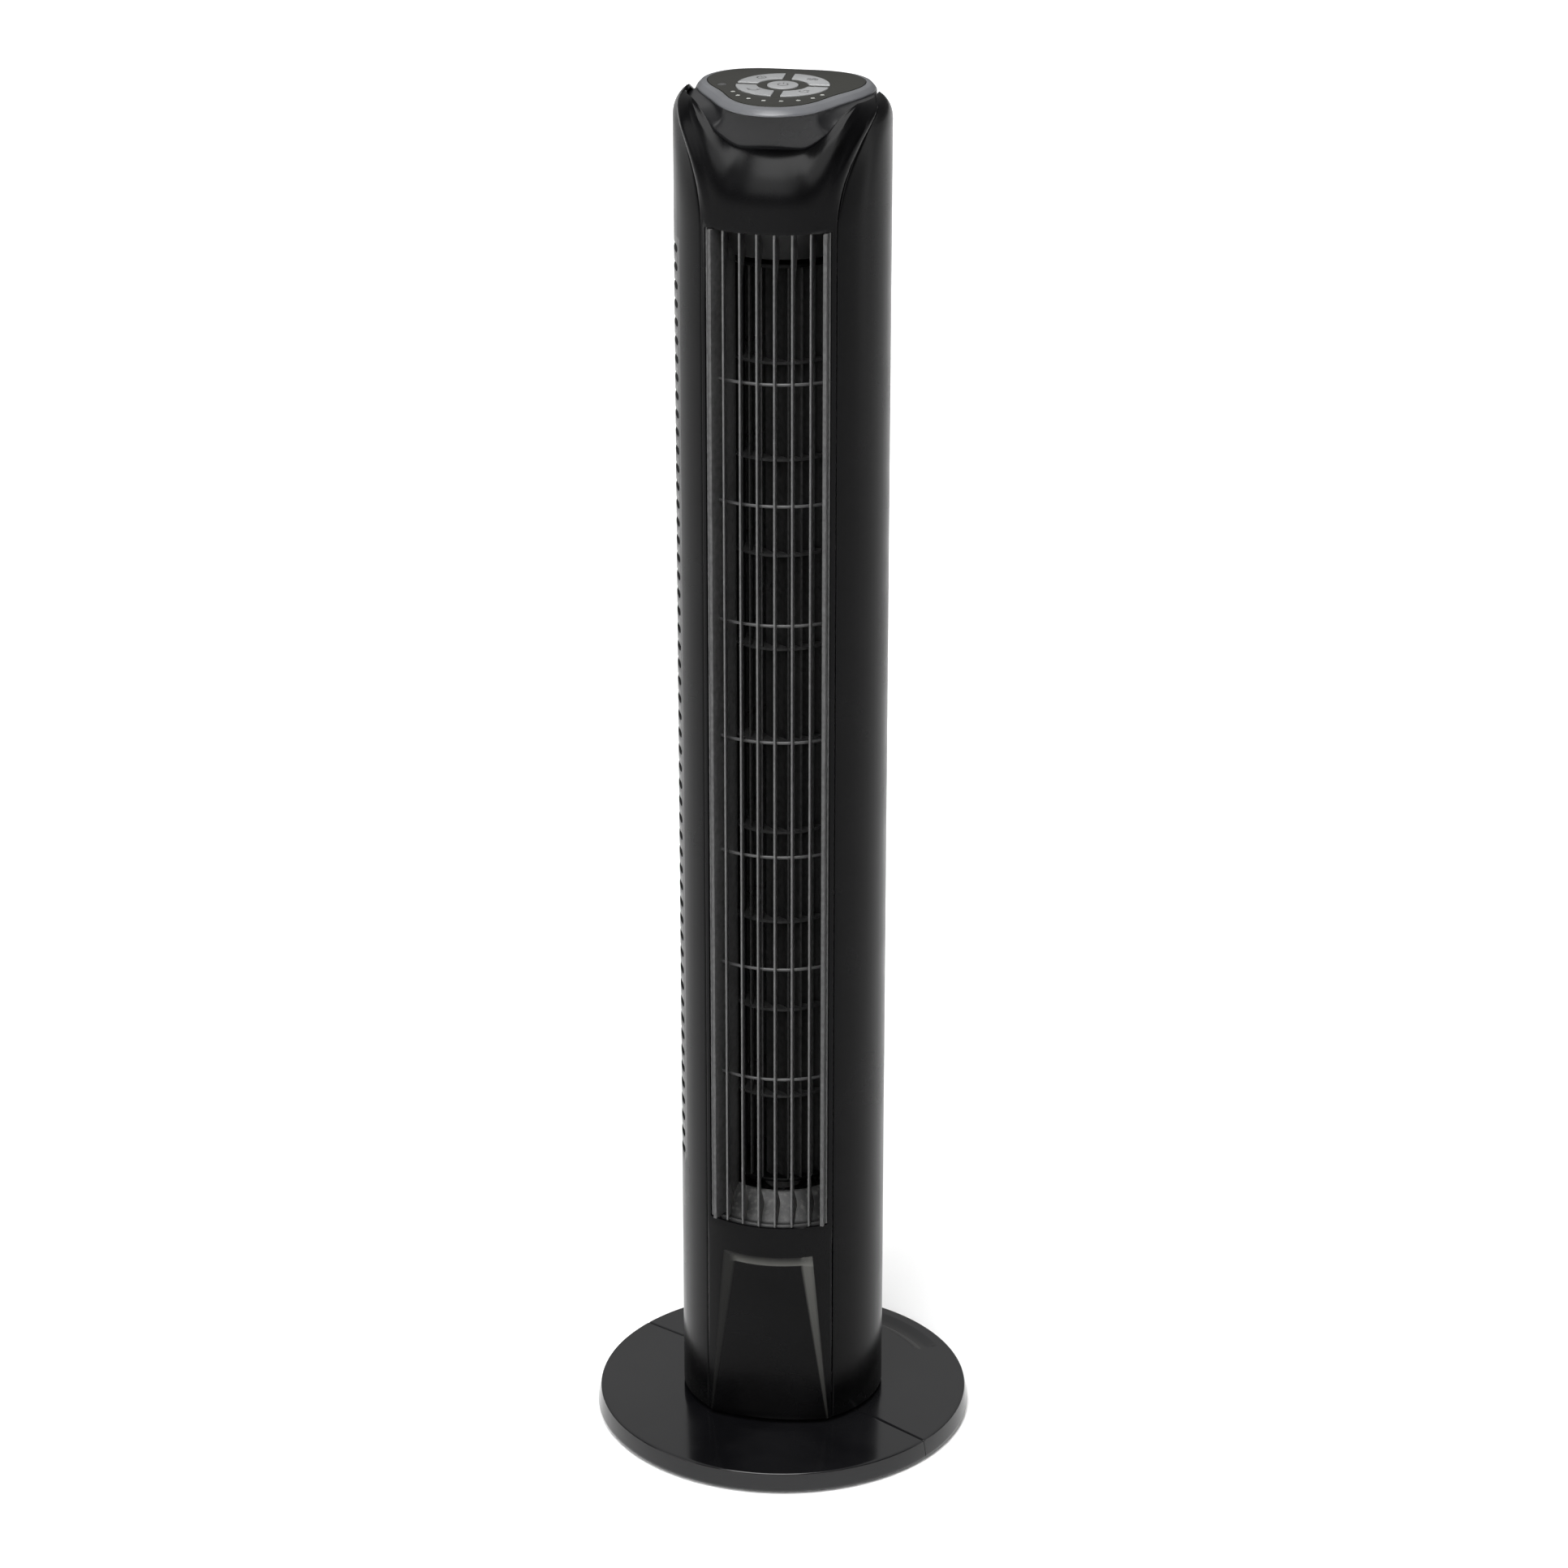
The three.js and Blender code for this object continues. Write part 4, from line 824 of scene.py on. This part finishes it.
deckTop = span("control_panel")[1][2]
head = {
    "foot": body["radius"] - body["lipInset"] + 0.1,
    "below": 9,          # the wall starts this far below the collar's edge
    "facetTop": 39.2,    # flat front in front of the axis, at its top and foot
    "facetFoot": 38.8,
    "facetReach": 1.15,  # angle to which the flat front is looked for
    "ledge": deckTop - 3.9,
    "edge": 0.8,
    "wall": 2.2,
    "rimDrop": 2.9,
}


# Plan radius of the panel: a rounded triangle, point forward: 39 - 0.9cos(a) + 1.1cos(2a) + 5.2cos(3a).
def panelEdge(angle):
    return 39 - 0.9 * np.cos(angle) + 1.1 * np.cos(2 * angle) + 5.2 * np.cos(3 * angle)


# Plan radius of the rim's outer edge: the panel's, widened all round and more in front.
def rimEdge(angle):
    return panelEdge(angle) + 4.9 + 1.8 * np.cos(angle) + 1.2 * np.sin(angle) ** 2


# Smaller of two values, blended over a width so that their crossing is rounded.
def softMin(first, second, width):
    return 0.5 * (first + second - np.sqrt((first - second) ** 2 + width**2))


# Points from a plan radius, an angle from the front and a height.
def polar(radius, angle, height):
    return np.stack([radius * np.sin(angle), -radius * np.cos(angle), height], -1)


# The housing: a wall that leans in from the collar to the rim, cut by the flat front, with a rounded upper
# edge and an inner face parallel to the outer one.
def headHousing():
    angle = np.linspace(0, 2 * math.pi, 240, endpoint=False)
    climb = np.linspace(0, 1, 14)[:, None]
    low = edgeHeight(angle) - head["below"]
    height = low + (head["ledge"] - low) * climb
    side = 0.4 * smooth(fromFront(angle), 50 * degree, 80 * degree)
    lean = (rimEdge(angle) + 0.4 - head["foot"]) * smooth(climb, 0.3 + side, 1)
    wallRadius = head["foot"] + lean - 1.6 * (1 - smooth(climb, 0, 0.25))
    flat = head["facetFoot"] + (head["facetTop"] - head["facetFoot"]) * climb
    flat = flat / np.cos(np.minimum(fromFront(angle), 1.2))
    flat = np.where(fromFront(angle) < head["facetReach"], flat, 90)
    outer = softMin(wallRadius, flat, 0.4)
    rolled = outer[-1] - head["edge"] * (1 - np.cos(np.linspace(0, math.pi / 2, 5)[1:, None]))
    rolledHeight = np.full_like(rolled, head["ledge"] + 0.2)
    top = np.stack([outer[-1] - 3, outer[-1] - 4])
    inside = outer[::-1] - head["wall"]
    radius = np.concatenate([outer, rolled, top, inside[1:]])
    level = np.concatenate([height, rolledHeight, np.full_like(top, head["ledge"]), height[::-1][1:]])
    makePiece("head_housing_shell", hoop(polar(radius, angle, level)), "tower", "headBlack",
              ["head_housing"], crease=38)


# Rim: an inner bead beside the panel, a gentle slope outwards and a rounded outer edge that tucks under.
def deckRim():
    angle = np.linspace(0, 2 * math.pi, 240, endpoint=False)
    inner, outer = panelEdge(angle) + 0.3, rimEdge(angle)
    section = rounded([[0, -3.4], [0, 0, 0.5], [0.55, -0.55, 0.9], [1, -head["rimDrop"], 1.3],
                       [1, -3.9, 0.8], [0.72, -4.4, 0.4], [0.3, -4.0, 0.2]])
    radius = inner[None] + (outer - inner)[None] * section[:, :1]
    level = deckTop + section[:, 1:] * np.ones_like(angle)[None]
    makePiece("deck_rim_band", hoop(polar(radius, angle, level)), "tower", "rimGrey",
              ["deck_rim"], crease=45)


keys = {"outer": 24.0, "inner": 13.2, "centre": 8.0, "divide": 4.5, "floor": deckTop - 4.2,
        "top": deckTop + 0.55, "gap": 0.3, "corner": 0.8, "arcPoints": 12}


# Points of a quarter arc that stops short of both axes by the same distance.
def quarterArc(radius, short):
    trim = math.asin(short / radius)
    turn = np.linspace(trim, math.pi / 2 - trim, keys["arcPoints"])
    return np.stack([radius * np.cos(turn), radius * np.sin(turn)], -1)


# Outline of a ring key between two circles and two straight sides, with rounded corners.
def sectorOutline(quarter, grow=0.0):
    half = keys["divide"] / 2 - grow
    outer, inner = keys["outer"] + grow, keys["inner"] - grow
    line = np.concatenate([quarterArc(outer, half), quarterArc(inner, half)[::-1]])
    last = keys["arcPoints"] - 1
    ends = (0, last, last + 1, 2 * last + 1)
    corners = [[*p, keys["corner"]] if i in ends else [*p, 0] for i, p in enumerate(line.tolist())]
    c, s = math.cos(quarter * math.pi / 2), math.sin(quarter * math.pi / 2)
    return rounded(corners, steps=4) @ np.array([[c, s], [-s, c]])


def circleOutline(radius, x=0.0, y=0.0, count=48):
    turn = np.linspace(0, 2 * math.pi, count, endpoint=False)
    return np.stack([x + radius * np.cos(turn), y + radius * np.sin(turn)], -1)


lights = {"count": 8, "pitch": 15.5 * degree, "circle": 33.0, "radius": 1.2, "receiver": (-31.0, -2.0),
          "receiverRadius": 2.5, "gap": 0.1}
panel = {"thick": 3.6, "edge": 0.35}


# Places of the lights, on an arc that tightens towards its ends.
def lightPlaces():
    angle = (np.arange(lights["count"]) - (lights["count"] - 1) / 2) * lights["pitch"]
    radius = lights["circle"] - 6 * (angle / (60 * degree)) ** 2
    return np.stack([radius * np.sin(angle), -radius * np.cos(angle)], -1)


# A through cutter for the panel.
def opening(outline):
    return slab(outline, deckTop - 6, deckTop + 2, 0.01, 2)


# The panel is one plate with its openings cut by slabs grown by the gaps.
def controlPanel():
    angle = np.linspace(0, 2 * math.pi, 240, endpoint=False)
    edge = polar(panelEdge(angle), angle, 0 * angle)[:, :2]
    plateBody = slab(edge, deckTop - panel["thick"], deckTop, panel["edge"])
    plate = makePiece("control_panel_plate", plateBody, "tower", "panelBlack",
                      ["control_panel"], crease=30)
    cuts = [opening(circleOutline(keys["centre"] + keys["gap"]))]
    cuts += [opening(sectorOutline(quarter, keys["gap"])) for quarter in range(4)]
    cuts += [opening(circleOutline(lights["radius"] + lights["gap"], *place, 20)) for place in lightPlaces()]
    cuts.append(opening(circleOutline(lights["receiverRadius"] + lights["gap"], *lights["receiver"], 24)))
    verts, faces = together(*cuts)
    cutterMesh = bpy.data.meshes.new("panelOpenings")
    cutterMesh.from_pydata((verts * mm).tolist(), [], faces)
    work = bmesh.new()
    work.from_mesh(cutterMesh)
    bmesh.ops.recalc_face_normals(work, faces=work.faces)
    work.to_mesh(cutterMesh)
    work.free()
    cutter = bpy.data.objects.new("panelOpenings", cutterMesh)
    bpy.context.scene.collection.objects.link(cutter)
    cut = plate.modifiers.new("Openings", "BOOLEAN")
    cut.operation = "DIFFERENCE"
    cut.solver = "EXACT"
    cut.object = cutter
    bpy.context.view_layer.update()
    final = bpy.data.meshes.new_from_object(plate.evaluated_get(bpy.context.evaluated_depsgraph_get()))
    plate.modifiers.clear()
    plate.data = final
    work = bmesh.new()
    work.from_mesh(final)
    markCreases(work, 30)
    work.to_mesh(final)
    work.free()
    bpy.data.objects.remove(cutter)


# The five key caps, the lights' dots and the receiver's dot.
def keyPieces():
    outlines = {name: (sectorOutline(quarter), 0.45) for quarter, name in
                enumerate(("mode", "timer", "swing", "speed"))}
    outlines["power"] = (circleOutline(keys["centre"]), 0.5)
    for name, (outline, edge) in outlines.items():
        cap = slab(outline, keys["floor"], keys["top"], edge, 5)
        makePiece(f"{name}_key_cap", cap, f"{name}_key", "keyGrey", [f"key_{name}"], crease=50)
    dots = [slab(circleOutline(lights["radius"], *place, 20), deckTop - 6, deckTop, 0.2, 3)
            for place in lightPlaces()]
    makePiece("light_dots", together(*dots), "tower", "markPale", ["light_guide"])
    receiver = circleOutline(lights["receiverRadius"], *lights["receiver"], 24)
    makePiece("receiver_dot", slab(receiver, deckTop - 4, deckTop, 0.3, 4), "tower", "markDark",
              ["receiver_window"])


# A printed stroke: a ribbon of even width along plan points, a hair thick.
def stroke(points, width=0.55):
    line = np.asarray(points, float)
    side = squareTo(np.gradient(line, axis=0)) * width / 2
    low, high = np.full(len(line), keys["top"] - 0.15), np.full(len(line), keys["top"] + 0.03)
    ring = np.stack([np.column_stack([line + side, low]), np.column_stack([line - side, low]),
                     np.column_stack([line - side, high]), np.column_stack([line + side, high])], 1)
    return loft(ring)


# Points of an arc between two angles in degrees.
def arcPoints(radius, start, end, x=0.0, y=0.0, count=18):
    turn = np.radians(np.linspace(start, end, count))
    return np.stack([x + radius * np.cos(turn), y + radius * np.sin(turn)], -1)


# Generic marks: waves, a clock, a swing arrow, a fan of three blades and a power sign.
def keyMarks():
    stem = (keys["outer"] + keys["inner"]) / 2
    places = stem * np.array([[1, 1], [-1, 1], [-1, -1], [1, -1]]) * math.cos(45 * degree)
    at = dict(zip(("mode", "timer", "swing", "speed"), places.tolist()))
    marks = {}
    x, y = at["timer"]
    marks["timer"] = [stroke(arcPoints(2.3, 100, 440, x, y, 30))]
    marks["timer"].append(stroke([[x, y + 1.5], [x, y], [x + 1.2, y]]))
    x, y = at["mode"]
    wave = np.stack([np.linspace(-2.8, 2.8, 24), 0.5 * np.sin(np.linspace(0, 4 * math.pi, 24))], -1)
    marks["mode"] = [stroke(wave + np.array([x, y + k])) for k in (-1.4, 0, 1.4)]
    x, y = at["swing"]
    marks["swing"] = [stroke(arcPoints(3, 200, 340, x, y + 1.6))]
    marks["swing"] += [stroke([[x + 1.7 * way, y + 1.6], [x + 2.9 * way, y + 0.5], [x + 3.3 * way, y + 2.1]])
                       for way in (-1, 1)]
    x, y = at["speed"]
    marks["speed"] = []
    for start in (0, 120, 240):
        middle = math.radians(start + 60)
        centre = (x + 1.3 * math.cos(middle), y + 1.3 * math.sin(middle))
        marks["speed"].append(stroke(arcPoints(1.3, start, start + 190, *centre)))
    marks["power"] = [stroke(arcPoints(2.6, 125, 415)), stroke([[0, 1.2], [0, 2.2], [0, 3.4]])]
    for name, strokes in marks.items():
        makePiece(f"{name}_key_mark", together(*strokes), f"{name}_key", "markDark")


headHousing()
deckRim()
controlPanel()
keyPieces()
keyMarks()
print("head and keys made")

base = {
    "radius": 105.0, "rim": 12.5, "crown": 14.0, "flat": 60.0, "low": 1.8,
    "turn": -31.5 * degree,  # of the line where the halves meet
    "slit": 0.2, "chamfer": 0.35,
    "pocketIn": 83.5, "pocketOut": 97.0, "pocketDepth": 2.0, "pocketBevel": 4.6, "pocketHalf": 25.5 * degree,
    "pocketEnd": 0.9 * degree,
}


# Height of the base's top: level to the flat's edge, then a shallow cone to the rim.
def baseTop(radius):
    share = np.clip((radius - base["flat"]) / (base["radius"] - 2 - base["flat"]), 0, 1)
    return base["crown"] + (base["rim"] - base["crown"]) * share


# Painted highlight on the pocket's inner bevel: 1 between its two edges and inside its ends, on the upper
# side only.
def paintPocketHighlight(mesh):
    spots = np.empty(len(mesh.vertices) * 3)
    mesh.vertices.foreach_get("co", spots)
    x, y, height = spots.reshape(-1, 3).T / mm
    radius = np.hypot(x, y)
    aside = fromFront(np.arctan2(x, -y) - base["turn"] - math.pi)
    bevelEnd = base["pocketIn"] + base["pocketBevel"] + 0.4
    across = np.clip((radius - base["pocketIn"]) / 0.3, 0, 1) * np.clip((bevelEnd - radius) / 0.3, 0, 1)
    within = np.clip((base["pocketHalf"] - aside) / degree, 0, 1)
    paintedHighlight = mesh.attributes.new("paintedHighlight", "FLOAT", "POINT")
    paintedHighlight.data.foreach_set("value", across * within * (height > base["rim"] - 3))


# One half disc. Columns run half a turn from split to split; rows follow the section over the top, round the
# leaning rim and back underneath. The last grains beside the split fall away by a small chamfer. The pocket's
# floor is deepest beside its inner bevel and rises to nothing outwards.
def baseHalf(name, side, stands):
    fine = np.array([0, 0.2, 0.5, 1.0, 2.0]) * degree
    besidePocket = base["pocketHalf"] + np.array([-0.9, 0, 0.02, 1.2])[None] * degree
    pocketEnds = math.pi / 2 + np.array([-1, 1])[:, None] * besidePocket
    even = np.linspace(2 * degree, math.pi - 2 * degree, 118)
    turn = np.unique(np.concatenate([fine, math.pi - fine, even, pocketEnds.ravel()]))
    bevelEnd = base["pocketIn"] + base["pocketBevel"]
    pocketRows = [*(base["pocketIn"] + np.array([-0.3, 0, 2.5])), bevelEnd, bevelEnd + 0.3, 92,
                  *(base["pocketOut"] + np.array([-0.4, -0.1, 0, 0.4]))]
    inRows, outRows = [20, 40, 56, 58, 60, 62], [99, 101.2, 102]
    topRadii = np.unique(np.concatenate([inRows, np.linspace(66, 82, 5), pocketRows, outRows]))
    top = np.column_stack([topRadii, baseTop(topRadii)])
    low, rim, under = base["low"], base["rim"], base["crown"] - 3.2
    rimLine = rounded([[102, baseTop(np.array(102.0))], [103.2, rim - 0.15, 1.0], [105, low + 1.6, 1.0],
                       [104.4, low, 0.6], [102, low, 0.5], [101.6, rim - 3.6, 1], [58, under],
                       [20, under]], steps=6, closed=False)[1:]
    section = np.concatenate([top, rimLine])
    radius = section[:, 0][:, None] * np.ones_like(turn)
    height = section[:, 1][:, None] * np.ones_like(turn)
    if side < 0:
        isTop = (np.arange(len(section)) < len(top))[:, None]
        inward = np.clip((radius - base["pocketIn"]) / base["pocketBevel"], 0, 1)
        outward = np.clip((base["pocketOut"] - radius) / (base["pocketOut"] - bevelEnd), 0, 1)
        width = np.clip((base["pocketHalf"] - np.abs(turn - math.pi / 2)) / base["pocketEnd"], 0, 1)
        height = height - np.where(isTop, base["pocketDepth"] * np.minimum(inward, outward) * width, 0)
    aside = radius * np.sin(turn)
    isUpper = (np.arange(len(section)) < len(top) + 5)[:, None]
    chamfer = base["chamfer"] * np.exp(-((aside / base["chamfer"]) ** 2))
    height = height - np.where(isUpper, chamfer, 0)
    x = radius * np.cos(turn)
    y = -(aside + base["slit"] * np.exp(-aside / 6))
    scale = np.minimum(1, base["radius"] / np.maximum(np.hypot(x, y), 1e-6))
    points = np.stack([x * scale, y * scale, height], -1)
    verts, faces = sheetOf(np.concatenate([points, points[:1]]))
    ends = [tuple(range(start, start + len(section) * len(turn), len(turn))) for start in (0, len(turn) - 1)]
    turned = around((verts, faces + [ends[0][::-1], ends[1]]), base["turn"] + (0 if side > 0 else math.pi))
    disc = makePiece(name, turned, "base", "discBlack", stands, crease=28)
    # Painted highlight on the pocket's inner bevel.
    if side < 0:
        paintPocketHighlight(disc.data)


baseHalf("base_front_disc", 1, ["base_front_half"])
baseHalf("base_rear_disc", -1, ["base_rear_half"])

footProfile = rounded([[0, 0], [7.6, 0, 0.6], [8, 1.8, 0.2], [0, 1.8]], 4)
for i in range(6):
    pad = around(lathe(footProfile, 40), base["turn"] + i * 60 * degree, 91)
    makePiece(f"foot_pad_{i + 1}", pad, "base", "rubber", [f"foot_{i + 1}"])


# Pan-head screw: a dome over rings of points, sunk along two crossed arms near the middle, with a skirt.
def crossHead(radius, tall):
    ring = np.linspace(0, 1, 9)
    turn = np.linspace(0, 2 * math.pi, 48, endpoint=False)
    r = radius * ring[:, None] * np.ones_like(turn)
    dome = tall * np.sqrt(np.clip(1 - 0.82 * ring[:, None] ** 2, 0, 1)) * np.ones_like(turn)
    arm = np.minimum(np.abs(r * np.sin(turn)), np.abs(r * np.cos(turn)))
    sunk = 0.9 * np.clip((0.5 - arm) / 0.25, 0, 1) * np.clip((0.62 * radius - r) / 0.4, 0, 1)
    z = dome - sunk
    skirt = np.stack([radius * np.sin(turn), -radius * np.cos(turn), np.full_like(turn, -0.6)], -1)[None]
    points = np.concatenate([np.stack([r * np.sin(turn), -r * np.cos(turn), z], -1), skirt])
    verts, faces = sheetOf(points, wrap=True)
    faces.append(tuple(range(len(ring) * 48, (len(ring) + 1) * 48)))
    return verts, faces


screw = {"radius": 3.2, "tall": 1.5, "aside": 150 * degree}
screwHeights = [span(f"cover_screw_{i}")[0][2] + 3.2 for i in (1, 3, 5)]
for level, height in enumerate(screwHeights):
    for side, angle in enumerate((-screw["aside"], screw["aside"])):
        number = level * 2 + side + 1
        headShape = moved(laidDown(crossHead(screw["radius"], screw["tall"])), z=height)
        placed = around(headShape, angle, body["radius"] + 0.2)
        makePiece(f"cover_screw_head_{number}", placed, "tower", "steel", [f"cover_screw_{number}"])


# Cord gland: a stepped rubber collar with an open bore, turned and laid down at the back.
def cordGland():
    height = (span("cord_gland")[0][2] + span("cord_gland")[1][2]) / 2
    profile = rounded([[3.4, -8], [5, -8, 0.4], [5, 0], [7.5, 0, 0.3], [7.5, 1.2, 0.6], [6.6, 1.4, 0.3],
                       [6.2, 2.4, 0.6], [3.4, 2.4, 0.6]], 4)
    placed = around(moved(laidDown(lathe(profile, 56)), z=height), math.pi, body["radius"] + 0.2)
    makePiece("cord_gland_collar", placed, "tower", "rubber", ["cord_gland"])


cordGland()

# Pivot post: a hollow turned tube with a flange at its foot and a shoulder under the floor plate.
postFoot, postTop = span("pivot_post")[0][2], span("pivot_post")[1][2]
shoulder = span("floor_plate")[0][2] - 2.1
postLine = rounded([[8, postFoot], [26, postFoot, 0.5], [26, postFoot + 3.5, 0.8], [17, postFoot + 3.5, 1],
                    [17, shoulder, 0.6], [12, shoulder], [12, postTop, 0.6], [8, postTop, 0.6]], 4)
makePiece("pivot_post_turned", lathe(postLine, 80), "base", "nylon", ["pivot_post"])
print("base made")

# Finishes of the frame's own nodes that stay.
nodeFinishes = {
    "steel": [f"base_screw_{i}" for i in range(1, 5)] + [f"tact_switch_{i}" for i in range(1, 6)]
             + ["retaining_ring", "main_motor", "motor_plate", "swing_motor", "swing_motor_shaft",
                "impeller_stub_shaft", "motor_shaft"],
    "nylon": ["crank_yoke", "swivel_washer", "swing_crank"],
    "innerBlack": ["floor_plate"],
    "rubber": ["bearing_mount", "shaft_coupling"],
    "bronze": ["bearing_bush"],
    "board": ["circuit_board"],
    "capacitorCan": ["run_capacitor"],
}
for finish, names in nodeFinishes.items():
    for name in names:
        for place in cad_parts[name].material_slots:
            place.material = material(finish)
print("finishes set")

# Floor and light.
studio = {"floorSize": 30.0, "floorGlow": 0.75, "nearGlow": 0.0, "dimTo": 0.15, "fullFrom": 3.5,
          "zenith": 0.3, "back": 0.6, "front": 0.1, "haze": 0.3}


# Matt and pale, with a glow that grows away from the fan and keeps the far floor as white as the near one.
def floorMaterial():
    made = bpy.data.materials.new("paleFloor")
    made.use_nodes = True
    tree = made.node_tree
    shader = tree.nodes["Principled BSDF"]
    coords = tree.nodes.new("ShaderNodeTexCoord")
    mottle = mixColor(tree, noiseOf(tree, coords, 300, 3), (0.84, 0.84, 0.84), (0.86, 0.86, 0.86))
    link(tree, mottle, shader.inputs["Base Color"])
    shader.inputs["Roughness"].default_value = 0.9
    shader.inputs["Specular IOR Level"].default_value = 0.1
    shader.inputs["Emission Color"].default_value = (1, 1, 1, 1)
    distance = tree.nodes.new("ShaderNodeVectorMath")
    distance.operation = "LENGTH"
    link(tree, coords.outputs["Object"], distance.inputs[0])
    glow = spread(tree, distance.outputs["Value"], studio["dimTo"], studio["fullFrom"],
                  studio["nearGlow"], studio["floorGlow"])
    link(tree, glow, shader.inputs["Emission Strength"])
    return made


half = studio["floorSize"] / 2
floorMesh = bpy.data.meshes.new("floor")
corners = [(-half, -half, 0), (half, -half, 0), (half, half, 0), (-half, half, 0)]
floorMesh.from_pydata(corners, [], [(0, 1, 2, 3)])
floor = bpy.data.objects.new("floor", floorMesh)
floorMesh.materials.append(floorMaterial())
bpy.context.scene.collection.objects.link(floor)


# Sky: brighter behind the fan and overhead, dimmer towards the front.
def sky():
    world = bpy.data.worlds.new("studioSky")
    bpy.context.scene.world = world
    world.use_nodes = True
    tree = world.node_tree
    back = tree.nodes["Background"]
    coords = tree.nodes.new("ShaderNodeTexCoord")
    split = tree.nodes.new("ShaderNodeSeparateXYZ")
    link(tree, coords.outputs["Generated"], split.inputs["Vector"])
    level = spread(tree, split.outputs["Y"], -0.6, 0.8, studio["front"], studio["back"])
    level = times(tree, level, spread(tree, split.outputs["Z"], 0.12, 0.5, studio["haze"], 1))
    high = spread(tree, split.outputs["Z"], 0.3, 1, 0, studio["zenith"])
    total = tree.nodes.new("ShaderNodeMath")
    link(tree, level, total.inputs[0])
    link(tree, high, total.inputs[1])
    link(tree, total.outputs["Value"], back.inputs["Strength"])
    back.inputs["Color"].default_value = (1, 1, 1, 1)


# A soft area light at a place, turned to face another.
def softbox(name, place, aim, size, power):
    data = bpy.data.lights.new(name, "AREA")
    data.shape = "RECTANGLE"
    data.size, data.size_y = size
    data.energy = power
    lamp = bpy.data.objects.new(name, data)
    bpy.context.scene.collection.objects.link(lamp)
    lamp.location = place
    direction = np.array(aim, float) - np.array(place, float)
    yaw = math.atan2(direction[1], direction[0])
    tilt = math.atan2(math.hypot(direction[0], direction[1]), -direction[2])
    lamp.rotation_euler = (tilt, 0, yaw - math.pi / 2)


sky()
softbox("overhead", (-0.1, -1.2, 2.9), (0, 0, 0.6), (1.7, 2.2), 135)
softbox("frontWall", (-0.3, -3.5, 2.3), (0, 0, 0.9), (3.2, 1.8), 95)
softbox("leftWall", (-3.4, -1.9, 2.1), (0, 0, 0.9), (2.0, 1.6), 35)
softbox("rightStrip", (2.3, 0.5, 0.8), (0, 0, 0.4), (0.4, 1.6), 4)
bpy.context.scene.view_settings.view_transform = "Standard"
bpy.context.scene.view_settings.look = "None"
print("studio ready")

bpy.context.view_layer.update()
